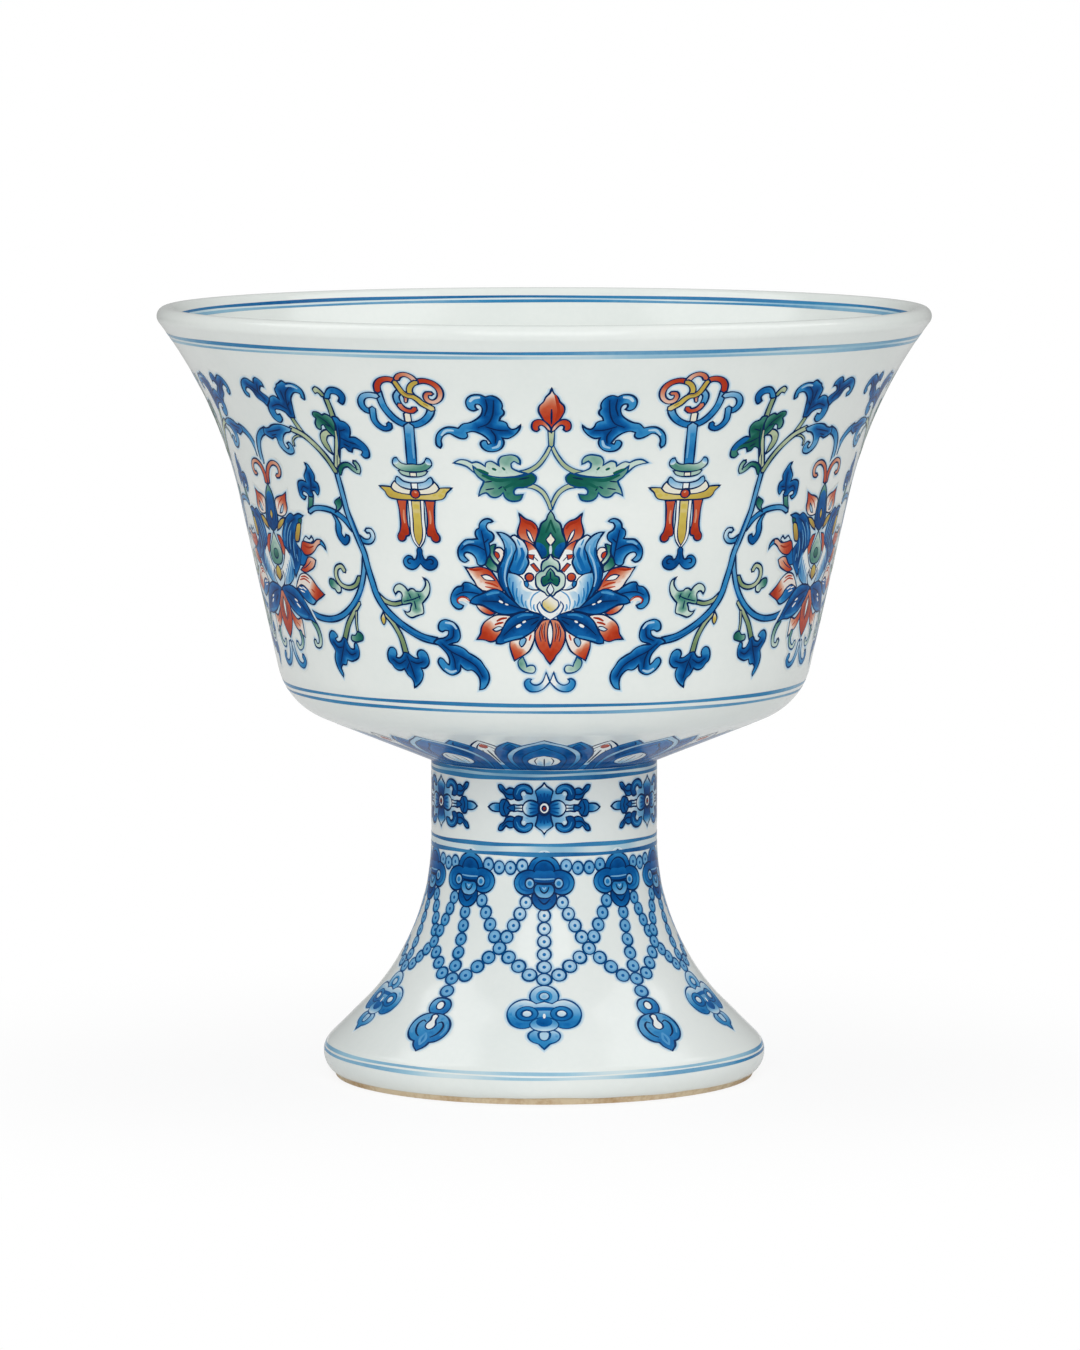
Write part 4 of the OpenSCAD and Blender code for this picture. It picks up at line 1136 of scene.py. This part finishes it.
    d.stroke("38.7,48 38,50.4 37.6,53", 0.34, "olive", 0.95)
    d.shape("cobalt", "35,51.6 34.2,51.7 33.2,51.1 32.5,50.3 32.1,49.2 32.8,49.2 33.4,50 34.2,50.6",
            tone=(0.2, 0.3), line=0)
    d.shape("olive", "37.6,60.2 38,61.6 38.8,62.3 39.5,61.7 39.3,60.8! 38.7,61 38.2,60.2", (37.8, 60.8),
            (39, 62), (0.65, 1))
    d.shape("cobalt", "37.7,59.9 37.2,61.2 36,62.3 34.8,62.2 33.8,61 34,59.5 34.7,58.7 35.3,59.3! "
            "34.9,60.2 35.3,60.8 36.2,60.9 36.9,59.8", (34.4, 60.4), (37, 61.6), (0.24, 0.58))
    d.shape("cobalt", "45.6,55.3! 45.3,57.3 44.7,59.7 43.3,60.8 42.5,60.5 42.5,59.7! 42,59.3 41.7,60.2 "
            "41.8,61.5 42.7,62.5 44,62.8 44.7,62.7! 45.3,63.2 46.2,62.7! 47,62.2 47.2,61.8! 47.8,61.2 "
            "47.9,60.2 47.7,59! 48.6,59.7 49.6,59.5 50.2,59! 51,58 51.5,56.3 51,54.7 49.7,54 48.8,54.8 "
            "49,55.8! 49.8,55.7 49.8,56.7 48.7,56.8 47.5,56.3 46.8,55.3", **petal,
            vein="46.3,56 46.3,58.4 45.6,60.6 44.2,62; 46.7,57 48.4,57.9 50.2,57.4; 46.6,58.6 46.6,61; "
                 "46.4,57.6 45.6,58.6")
    d.stroke("42.6,61.6 43.8,62.2 45,62", 0.5, "cobalt", 0.76)
    d.shape("cobalt", "50.2,59 51.7,60.7 50.8,61.7 50.3,61.5! 50.3,62.5 51.5,63.5 52.3,62.8 52.5,62.2! "
            "54.2,63.2 55.7,62.5 56.5,60.8 56.2,59.3 55.5,59! 55.2,59.7 55.7,60.3 54.8,61.2 54,60.7 "
            "53.3,59 52,58 51.5,57.3!", **petal, vein="51.4,58.8 52.8,60.6 54.6,61.9; 52.4,60.4 51.8,62; "
                                                      "53.4,60.8 53,59.6")
    d.shape("cobalt", "47.4,52.9! 49.9,53.6 52.4,53.3 53.6,52.7 55.2,52.5! 55.5,51.4 54.6,50.8 53.6,50.4! "
            "52.4,50.8 52.1,49.2 51.1,48 49.9,47.5 48.6,48 48.5,49.1 49.2,50 49.9,49.7! 49.6,48.9 50,48.6 "
            "50.7,49.6 50.2,51.1 49.2,51.9 48,52.2", tone=(0.16, 0.64),
            vein="50.4,52.5 52.4,52.1 54.4,51.7; 52,51.4 53.4,51.1")
    return d


# One of the pointed petals under the bowl, over the halves of the petals that show on either side of it
def lappetDrawing():
    d = Drawing(0.36, 0.6, 68.3)
    d.shape("cobalt", "11,88.5! 9.7,86.6 8.4,84.2 7.6,81.4 7.3,78 7.4,74 7.8,68.7! 11,68.7!", (11, 70),
            (11, 82), (0.35, 0.9), 0)
    d.stroke("11,88.5 9.7,86.6 8.4,84.2 7.6,81.4", 0.4)
    d.shape("cobalt", "11,86.9! 10,85 9.1,82.6 8.5,79.6 8.4,76 8.8,72.6! 11,72!", (11, 73), (11, 80),
            (0.8, 1), 0)
    d.stroke("11,86.9 10,85 9.1,82.6 8.5,79.6", 0.3)
    d.shape("red", "11,86.2! 10.2,85 10.4,83.8 11,83.2!", (11, 84), (11, 86), (0, 0.5), 0)
    d.stroke("10.9,82 10.9,73.4", 0.3)
    d.stroke("10,82 9.6,78.6 9.9,74.4", 0.3)
    d.shape("cobalt", "6,88! 7.4,86.2 8.8,83.8 9.8,80.8 10.3,77 10.2,73 9.8,68.7! 3,68.7! 3,84.4!",
            (8.4, 80), (6.4, 86.6), (0.2, 0.5))
    d.shape("cobalt", "6,86.6! 7,84.8 7.6,83 6.6,82.2 5.6,82.8 5.2,84.8", (6, 83.4), (6.6, 85.6),
            (0.1, 0.4), 0.3)
    d.shape("cobalt", "0,89.2! 1.5,87.6 4,85.3 6.2,82.4 7.6,79.4 8.3,76 8.2,73 7.6,70.5 7,68.7! 0,68.7!",
            (0, 70), (0, 80), (0.3, 0.8), sides="whole")
    d.shape("cobalt", "0,87.1! 1.4,86 3.6,84 5.4,81.2 6.7,78 7.2,75 7,72 6.5,68.7! 0,68.7!", (0, 80),
            (0, 87.5), (0.15, 0.55), 0.26, sides="whole")
    d.shape("cobalt", "0,84.6! 1.2,82.7 3.2,80.4 4.6,77.8 5.2,75 5,72 4.6,68.7! 0,68.7!", (3, 70), (0, 84),
            (0.12, 0.45), 0.36, sides="whole")
    d.shape("cobalt", "0,78.7! 1.6,77.8 3.2,76.4 4,74.6 3.4,72.8 1.8,71.8 0,71.4", (0, 71.6), (0.6, 76),
            (0.8, 1), sides="whole")
    d.stroke("0,76.6 0,71.4", 0.36, sides="one")
    d.stroke("1.5,77.2 2.2,75.2 1.9,72.4", 0.32)
    return d


# A rosette with curls, laid along the neck of the stem
def rosetteDrawing():
    d = Drawing(0.34, 0.4)
    d.shape("cobalt", "1.2,3.4 2.6,3.4 4.4,2.4 6.6,2.2 8.6,1.6 8.8,.4 6.6,.3 4.2,.4 1.6,1", (1.5, 2.4),
            (6, 1), (0.62, 0.86), 0, sides="four")
    d.shape("cobalt", "4.4,.5 5.8,.55 7,.6 7,-.6 5.8,-.55 4.4,-.5", (7, 0), (5, 0), (0.6, 0.9), 0.28)
    d.stroke("4.6,0 6.8,0", 0.26)
    d.shape("cobalt", "6.6,3.5 7.7,3.8 8.5,3.4! 9.7,4.4 10.3,4.3 10,3.4 9,2.7 8.5,1.9! 7.5,1.6 6.4,2",
            tone=(0.12, 0.5), vein="6.8,2.6 8.2,2.6 9.4,3.6", sides="four")
    d.shape("cobalt", "2.6,2.9 2.6,3.6 3.3,4.3 4.7,4.6 6,4.2 6.75,3.4 6.8,2.4 6.3,1.65 5.7,1.5 4.8,1.7! "
            "4.9,2.1 5.2,2.6 5,3.15 4.3,3.4 3.8,2.9!", (5.9, 2.4), (3.6, 4.2), (0.1, 0.45), sides="four")
    d.stroke("3,3.4 4.4,4 5.6,3.6 6.1,2.6", 0.3, "cobalt", 0.55, "four")
    d.shape("cobalt", "6.6,.5 7.6,.6 8.1,1.3 8.8,1.6 9.5,1.5 10,.8! 11,.8 11.9,.6 12.7,0! 11.9,-.6 11,-.8 "
            "10,-.8! 9.5,-1.5 8.8,-1.6 8.1,-1.3 7.6,-.6 6.6,-.5", (9.6, 0), (11.4, 0.3), (0.2, 0.72))
    d.stroke("8.6,1.3 9.1,0 8.6,-1.3", 0.3)
    d.stroke("7.4,.4 8.2,0 7.4,-.4", 0.26)
    d.stroke("10,.7 10,-.7", 0.26)
    d.shape("cobalt", "0,4.9! .5,4.3 1.3,3.8 1.9,3.3 1.7,2.6 1.5,1.9 1.25,.7 0,.6", (0, 1.8), (0.2, 4.3),
            (0.05, 0.9), sides="upDown")
    for path in ("0,1.6 0,3", ".6,1.6 .8,2.8", "1,1.6 1.3,2.5"):
        d.stroke(path, 0.4, "cobalt", 0.12, "four")
    d.shape("cobalt", "1.2,.9 2.2,1.4 3.3,1.5 4.3,1 4.8,0 4.3,-1 3.3,-1.5 2.2,-1.4 1.2,-.9", (1.4, 0),
            (4, 0.2), (0.1, 0.86))
    for path in ("1.4,0 3.4,0", "1.5,.5 3.2,.9"):
        d.stroke(path, 0.34, "cobalt", 0.12, "four")
    d.disc("cobalt", 0, 0, 1.2, (1, 1.02), 0.5, "one")
    d.disc("red", 0, 0, 0.46, (0, 0.05), 0.3, "one")
    return d


def cloudHeadDrawing():
    d = Drawing(0.31, 0.36)
    d.shape("cobalt", "0,52.1! 1.4,51.4 2.7,50.6 3.4,49.4 3.6,48.2! 0,47.8!", (0, 49.4), (0.2, 51.8),
            (0.22, 0.6), sides="whole")
    d.shape("cobalt", "0,50.7 1.3,50.3 2.1,49.4 2.4,48.3! 0,48.1!", (0, 48.4), (0, 50.8), (0.04, 0.32), 0.3,
            sides="whole")
    d.shape("cobalt", "0,44.4! 2.5,44.2 2.6,43.2 1.9,42 1,41.4 0,41.2", (0, 44), (0, 41.6), (0.06, 0.34),
            sides="whole")
    d.stroke("-1.3,43.4 0,42.4 1.3,43.4", 0.34, sides="one")
    d.shape("cobalt", "1.2,48.1! 2.8,48.8 4.6,48.6 5.9,47.8 6.5,46.5 6.1,45.2 4.9,44.3 3.6,44.1 2.5,44.4 "
            "1.6,45!", (3.4, 46.8), (6.2, 44.8), (0.2, 0.62))
    d.stroke("2.2,45.1 3.6,44.9 5,45.4 5.4,46.6 4.6,47.7 3.2,47.9", 0.34, "cobalt", 0.24)
    d.shape("cobalt", "0,48.6! 1.9,48.6 2.4,47.8 2.4,46.5! 0,46.3!", (0, 46.6), (0, 48.4), (0.12, 0.32), 0,
            sides="whole")
    d.stroke("-2.3,46.5 0,46.3 2.3,46.5", 0.3, sides="one")
    d.stroke("-2.2,47.2 0,47.1 2.2,47.2", 0.3, "cobalt", 0.7, "one")
    d.disc("cobalt", 3.1, 46.3, 1, (0.66, 0.78), 0.3)
    d.disc("cobalt", 3.1, 46.3, 0.5, (0.4, 0.5), 0)
    d.shape("cobalt", "0,46.1! 1.8,46 2.2,45.1 1.8,44.2 1,43.6 0,43.5", (0, 45.8), (0, 43.9), (0.42, 0.72),
            sides="whole")
    d.stroke("-1,45.7 -.6,44.8 0,44.5 .6,44.8 1,45.7", 0.34, sides="one")
    d.stroke("-.4,45.6 0,45.2 .4,45.6", 0.34, "cobalt", 0.75, "one")
    return d


def cloudPendantDrawing():
    d = Drawing(0.28, 0.75)
    # loop, drop and lobes
    d.disc("cobalt", 0, 24.1, 2.25, (0.6, 0.84), None, "one")
    d.disc("cobalt", 0, 24.1, 1.3, (0.5, 0.58), 0, "one")
    d.disc("cobalt", 0, 24.1, 0.8, (0.76, 0.84), 0.24, "one")
    d.shape("cobalt", "0,16.5! 1.2,16.6 2,15.8 2,14.6 1.4,13.7 .7,13.3! 0,12.1!", (0.6, 13.4), (1.4, 16),
            (0.5, 0.78), sides="whole")
    d.shape("cobalt", "0,16.3! .6,16.1 .7,15 .4,14.3 0,14.1", tone=(0.74, 0.8), line=0.3, sides="whole")
    d.shape("cobalt", "0,23! 1.2,22.5! 2,23.1 3,23.35 4.2,22.9 5.1,21.8 5.4,20.4 5.1,18.9 4.3,17.5 "
            "3.2,16.9 2.2,17.1 1.6,17.7! 0,17.4!", (0, 18.2), (0, 22.8), (0.42, 0.86), sides="whole")
    # scrolls on the lobes, joined by a dark band
    d.ribbon("cobalt", "-2.6,21.2 0,21.4 2.6,21.2", (0.8, 0.8), tone=(0.3, 0.3), line=0, sides="one")
    d.disc("cobalt", 2.5, 20.3, 1.6, (0.34, 0.5), 0.24)
    d.disc("cobalt", 2.5, 20.3, 0.8, (0.8, 0.9), 0.3)
    d.shape("cobalt", "0,19.5 1.4,19 2,17.9 1.6,16.9 .9,16.4 0,16.2", (0, 18.4), (0, 16.6), (0.56, 0.84),
            0.24, sides="whole")
    d.disc("cobalt", 0, 18.5, 1.15, (0.2, 0.32), 0, "one")
    d.stroke("0,20.3 0,19.3", 0.4, "cobalt", 0.97, "one")
    return d


def dropPendantDrawing():
    d = Drawing(0.32, 0.55)
    d.shape("cobalt", "0,22.7 1.2,22.4 1.85,21.3 1.75,20 1.1,19.1 0,18.8", (0.8, 19.6), (-1, 22),
            (0.35, 0.66), sides="whole")
    d.shape("cobalt", "0,22 .5,21.7 .7,21 .45,20.3 0,20.1", tone=(0.9, 0.94), line=0.3, sides="whole")
    d.shape("cobalt", "0,19.2! 1.2,19.1 2.3,18.4 3,17.2 3.2,15.6 2.8,13.9 1.9,12.7 1.2,12.4! .9,11.4 "
            "0,10.2!", (2, 13.4), (0, 17), (0.38, 0.62), sides="whole")
    d.stroke("1,17 1.5,17.4 2,16.8 2,15.4 1.5,14.2 .9,13.6", 0.36)
    d.stroke("2.5,17 2.7,15.6 2.3,14.2", 0.36, "cobalt", 0.6)
    d.stroke("0,14.6 .4,13.2 0,11.6", 0.4, "cobalt", 0.6)
    d.shape("cobalt", "0,19! .45,18.8 .45,17.6 .8,16.5 .55,15.7 0,15.4", tone=(0.82, 0.9), line=0.3,
            sides="whole")
    return d


# Strings of beads hang from the cloud heads to the pendants; angles in degrees, climbs and widths in mm
garland = dict(heads=(-144, -108, -73, -40, 0, 40, 73, 108, 144, 180),
               pendants=(-143, -106, -70, -37.5, 0, 37.5, 70, 106, 143, 180), seam=-162, stringTop=40.2,
               stringLow=(27.6, 26.9), dropBead=24.2, swagTop=42.7, swagCross=33.7, swagEnd=(2.5, 0.9),
               headSide=3.8, headHalf=3.5, chainStep=2.7, chainTop=49.9, chainSag=0.8,
               stringBeads=6, swagBeads=4, riseBeads=3)
# The beads are paler towards the front of the stem: painted light.
# A bead is three discs: radius, how much darker or paler its two ends are, and line
bead = dict(tone=0.63, paintedFrontHighlight=0.15, paintedHighlightReach=9, drift=0.04, driftAcross=9, driftUp=5,
            discs=((1.24, -0.05, 0.03, None), (0.78, 0.03, 0.05, 0), (0.34, -0.42, -0.38, 0)))


def beadString(start, end, count, whole=False):
    return list(np.linspace(start, end, count, endpoint=whole))


def garlandBeads(flatPerDegree):
    g = garland
    heads = [a * flatPerDegree for a in (*g["heads"], g["heads"][0] + 360)]
    pendants = [a * flatPerDegree for a in (*g["pendants"], g["pendants"][0] + 360)]
    aside, above = g["swagEnd"]
    beads = []
    for i in range(len(heads) - 1):
        h, h2, p, p2 = *heads[i:i + 2], *pendants[i:i + 2]
        low, low2 = g["stringLow"][i % 2], g["stringLow"][(i + 1) % 2]
        cross = ((h + h2 + p + p2) / 4, g["swagCross"])
        beads += beadString((h, g["stringTop"]), (p, low), g["stringBeads"], True)
        beads += beadString((h + g["headSide"], g["swagTop"]), cross, g["swagBeads"])
        beads += beadString((h2 - g["headSide"], g["swagTop"]), cross, g["swagBeads"])
        beads += beadString((p + aside, low + above), cross, g["riseBeads"])
        beads += beadString((p2 - aside, low2 + above), cross, g["riseBeads"])
        beads.append(cross)
        space = h2 - h - 2 * g["headHalf"]
        count = max(2, round(space / g["chainStep"]))
        for t in (np.arange(count) + 0.5) / count:
            sag = g["chainSag"] * math.sin(math.pi * t)
            beads.append((h + g["headHalf"] + space * t, g["chainTop"] - sag))
        if i % 2:
            beads.append((p, g["dropBead"]))
    return beads


def stemDrawing():
    flatPerDegree = math.radians(zones["stem"][1])
    seam = garland["seam"] * flatPerDegree
    d = Drawing(0.34, 0.72)
    beads = garlandBeads(flatPerDegree)
    for x, y in beads:
        x = (x - seam) % (360 * flatPerDegree) + seam
        # painted light: beads near the front of the stem are drawn paler
        paintedFrontLight = math.exp(-(x / bead["paintedHighlightReach"])**2)
        drift = math.sin(x / bead["driftAcross"] + y / bead["driftUp"])
        pale = bead["tone"] + bead["paintedFrontHighlight"] * paintedFrontLight + bead["drift"] * drift
        for radius, low, high, line in bead["discs"]:
            d.disc("cobalt", x, y, radius, (pale + low, pale + high), line, "one")
    head, cloud, drop = cloudHeadDrawing(), cloudPendantDrawing(), dropPendantDrawing()
    for i, (h, p) in enumerate(zip(garland["heads"], garland["pendants"])):
        d.stamp(head, h * flatPerDegree)
        d.stamp(cloud if i % 2 == 0 else drop, p * flatPerDegree)
    print("stem drawn with", len(beads), "beads")
    return d


# Painted rings: zone, climb, width, tone, how much paler at the front and on the right (painted light above
# zero, painted shade below), and lift over the other paint
rings = (("bowl", 171.9, 0.72, 0.7, -0.2, 0, 0), ("bowl", 170.8, 0.6, 0.88, -0.15, 0, 0),
         ("bowl", 171.3, 0.9, 1, 0, 0, -0.012),
         ("bowl", 101.3, 0.7, 0.45, 0, 0, 0), ("bowl", 99.8, 0.66, 0.55, 0, 0, 0),
         ("stem", 67.9, 0.62, 0.26, 0, 0, 0), ("stem", 66.7, 0.76, 0.34, 0, 0, 0),
         ("stem", 67.2, 1.3, 0.9, 0, 0, -0.012),
         ("stem", 53.95, 0.7, 0.34, 0, 0, 0), ("stem", 52.15, 0.76, 0.24, 0, 0, 0.014),
         ("stem", 53.05, 1.9, 1, 0, 0, -0.012),
         ("stem", 6.9, 0.6, 0.6, 0.3, -0.12, 0), ("stem", 5.95, 0.66, 0.5, 0.3, -0.12, 0),
         ("inner", 3.0, 0.7, 0.3, 0, 0, 0), ("inner", 4.05, 0.6, 0.62, 0, 0, 0),
         ("inner", 3.5, 0.9, 0.98, 0, 0, -0.012))
ringWaves = dict(climb=((0.05, 3, 1), (0.03, 11, 2)), width=((0.2, 5, 3),),
                 tone=((0.12, 2, 1.7), (0.08, 9, 1)))


def layRings(count=360):
    around = np.arange(count + 1) * 2 * math.pi / count
    for k, (zone, climb, width, tone, paintedFrontLight, right, over) in enumerate(rings):
        base = climb + waves(around, ringWaves["climb"], k)
        half = width / 2 * (1 + waves(around, ringWaves["width"], k))
        # painted light where paler, painted shade where darker: ring strength changes towards the front and
        # the right
        strength = tone + paintedFrontLight * np.cos(around) + right * np.sin(around)
        strength = strength + waves(around, ringWaves["tone"], k)
        low = np.arange(count)
        up = low + count + 1
        faces = np.concatenate([np.stack([low, low + 1, up + 1], 1), np.stack([low, up + 1, up], 1)])
        theta = np.concatenate([around, around])
        tones = np.concatenate([strength, strength])[faces]
        climbs = np.concatenate([base - half, base + half])
        painted.setdefault((zone, "ring"), []).append((theta, climbs, faces, tones, over))


def paintCup():
    flowers, sideFlowers, emblem, lappet, rosette, stem = (cutDrawing(make()) for make in (
        lotusDrawing, sideLotusDrawing, emblemDrawing, lappetDrawing, rosetteDrawing, stemDrawing))
    vines = {ink: cutDrawing(vineDrawing(ink)) for ink in ("cobalt", "green")}
    print("drawings cut")
    for flower, side, reach, ink, lean in layout["gaps"]:
        stretch = reach / layout["drawnReach"]
        over = layout["farOver"] if flower else 0.0
        layDrawing(vines[ink], "bowl", flower + layout["turn"], side, stretch, -layout["axis"], over, lean)
        layDrawing(emblem, "bowl", flower + layout["turn"] + side * stretch * layout["emblemAt"], side,
                   lean=-side * layout["emblemLean"])
    for angle in layout["flowers"]:
        layDrawing(flowers, "bowl", angle + layout["turn"], over=layout["over"])
    for angle, lean in layout["sideFlowers"]:
        layDrawing(sideFlowers, "bowl", angle + layout["turn"], over=layout["over"], lean=lean)
    for k in range(layout["lappets"]):
        layDrawing(lappet, "under", k * 360 / layout["lappets"])
    for angle in layout["rosettes"]:
        layDrawing(rosette, "neck", angle)
    layDrawing(stem, "stem", 0)
    layRings()
    addPainting()


# Where the drawings sit: angles in degrees round the cup, the others in mm on the flat drawing
layout = dict(turn=1.15, axis=1.1, drawnReach=63.5, emblemAt=24.8, emblemLean=0.024, over=0.03,
              farOver=-0.012, leanFrom=24, lowLean=0.4, flowers=(0, 122.25, -122.25),
              sideFlowers=((64.8, -0.19), (-65.4, 0.19), (180, 0)),
              gaps=((0, 1, 64.5, "green", 0), (0, -1, 64.5, "cobalt", 0), (122.25, -1, 59.5, "cobalt", -0.12),
                    (122.25, 1, 57.75, "green", 0), (-122.25, 1, 59.5, "green", 0.12),
                    (-122.25, -1, 57.75, "cobalt", 0)),
              lappets=10, rosettes=(-141, -65, 0, 65, 141))

addGlaze()
paintCup()


# Floor, light and camera, in metres and watts
studio = dict(worldLight=0.31, floorSpan=8, floorDrop=0.1 * mm, floorTone=0.92, floorRough=0.9,
              shadowFrom=0.04, shadowReach=0.17, shadowShare=0.14, camera=(-0.0008, -1.4, 0.219), aimZ=0.077,
              focalPixels=7325, framePixels=1350, sensor=36, clipEnd=50, lampAim=(0, 0, 0.08),
              lamps=dict(frontLight=((0, -2.0, 1.05), 1.8, 29), topLeftLight=((-0.8, 0.05, 1.1), 0.8, 4.4),
                         topRightLight=((0.8, 0.05, 1.1), 0.8, 4.4)))


def seenByCamera(w):
    return w.node("ShaderNodeLightPath", output="Is Camera Ray")


def facing(place, aim):
    return (Vector(aim) - Vector(place)).to_track_quat("-Z", "Y").to_euler()


def addStage():
    world = bpy.data.worlds.new("studioWorld")
    bpy.context.scene.world = world
    world.use_nodes = True
    w = Wire(world.node_tree)
    back = world.node_tree.nodes["Background"]
    back.inputs["Color"].default_value = (1, 1, 1, 1)
    w.plug(back.inputs["Strength"], studio["worldLight"] + (1 - studio["worldLight"]) * seenByCamera(w))

    mesh = bpy.data.meshes.new("studioFloor")
    span, top = studio["floorSpan"], -studio["floorDrop"]
    mesh.from_pydata([(-span, -span, top), (span, -span, top), (span, span, top), (-span, span, top)], [],
                     [(0, 1, 2, 3)])
    floor = bpy.data.objects.new("studioFloor", mesh)
    bpy.context.collection.objects.link(floor)
    material, w, shader = newMaterial("paleFloor")
    shader.inputs["Base Color"].default_value = (*[studio["floorTone"]] * 3, 1)
    shader.inputs["Roughness"].default_value = studio["floorRough"]
    glow = w.node("ShaderNodeEmission", None, {"Color": (1, 1, 1, 1), "Strength": 1.0})
    # the shadow fades into white away from the cup
    place = w.node("ShaderNodeTexCoord", output="Object")
    away = w.node("ShaderNodeVectorMath", {"operation": "LENGTH"}, {0: place}, output="Value")
    near = w.node("ShaderNodeMapRange", {"interpolation_type": "SMOOTHSTEP"}, {
        "Value": away, "From Min": studio["shadowFrom"], "From Max": studio["shadowReach"],
        "To Min": studio["shadowShare"], "To Max": 0.0})
    surface = w.node("ShaderNodeMixShader", None, {
        0: (1 - near) * seenByCamera(w), 1: Wire(w.tree, shader.outputs[0]), 2: glow})
    w.plug(material.node_tree.nodes["Material Output"].inputs["Surface"], surface)
    mesh.materials.append(material)

    for name, (place, size, power) in studio["lamps"].items():
        light = bpy.data.lights.new(name, "AREA")
        light.size = size
        light.energy = power
        lamp = bpy.data.objects.new(name, light)
        lamp.location = place
        lamp.rotation_euler = facing(place, studio["lampAim"])
        bpy.context.collection.objects.link(lamp)


def addCamera():
    data = bpy.data.cameras.new("photoCamera")
    data.sensor_fit = "VERTICAL"
    data.sensor_height = studio["sensor"]
    data.lens = studio["sensor"] * studio["focalPixels"] / studio["framePixels"]
    data.clip_end = studio["clipEnd"]
    camera = bpy.data.objects.new("photoCamera", data)
    camera.location = studio["camera"]
    camera.rotation_euler = facing(studio["camera"], (studio["camera"][0], 0, studio["aimZ"]))
    bpy.context.collection.objects.link(camera)
    bpy.context.scene.camera = camera


addStage()
addCamera()
bpy.context.scene.view_settings.view_transform = "Standard"
print("stage and camera set")
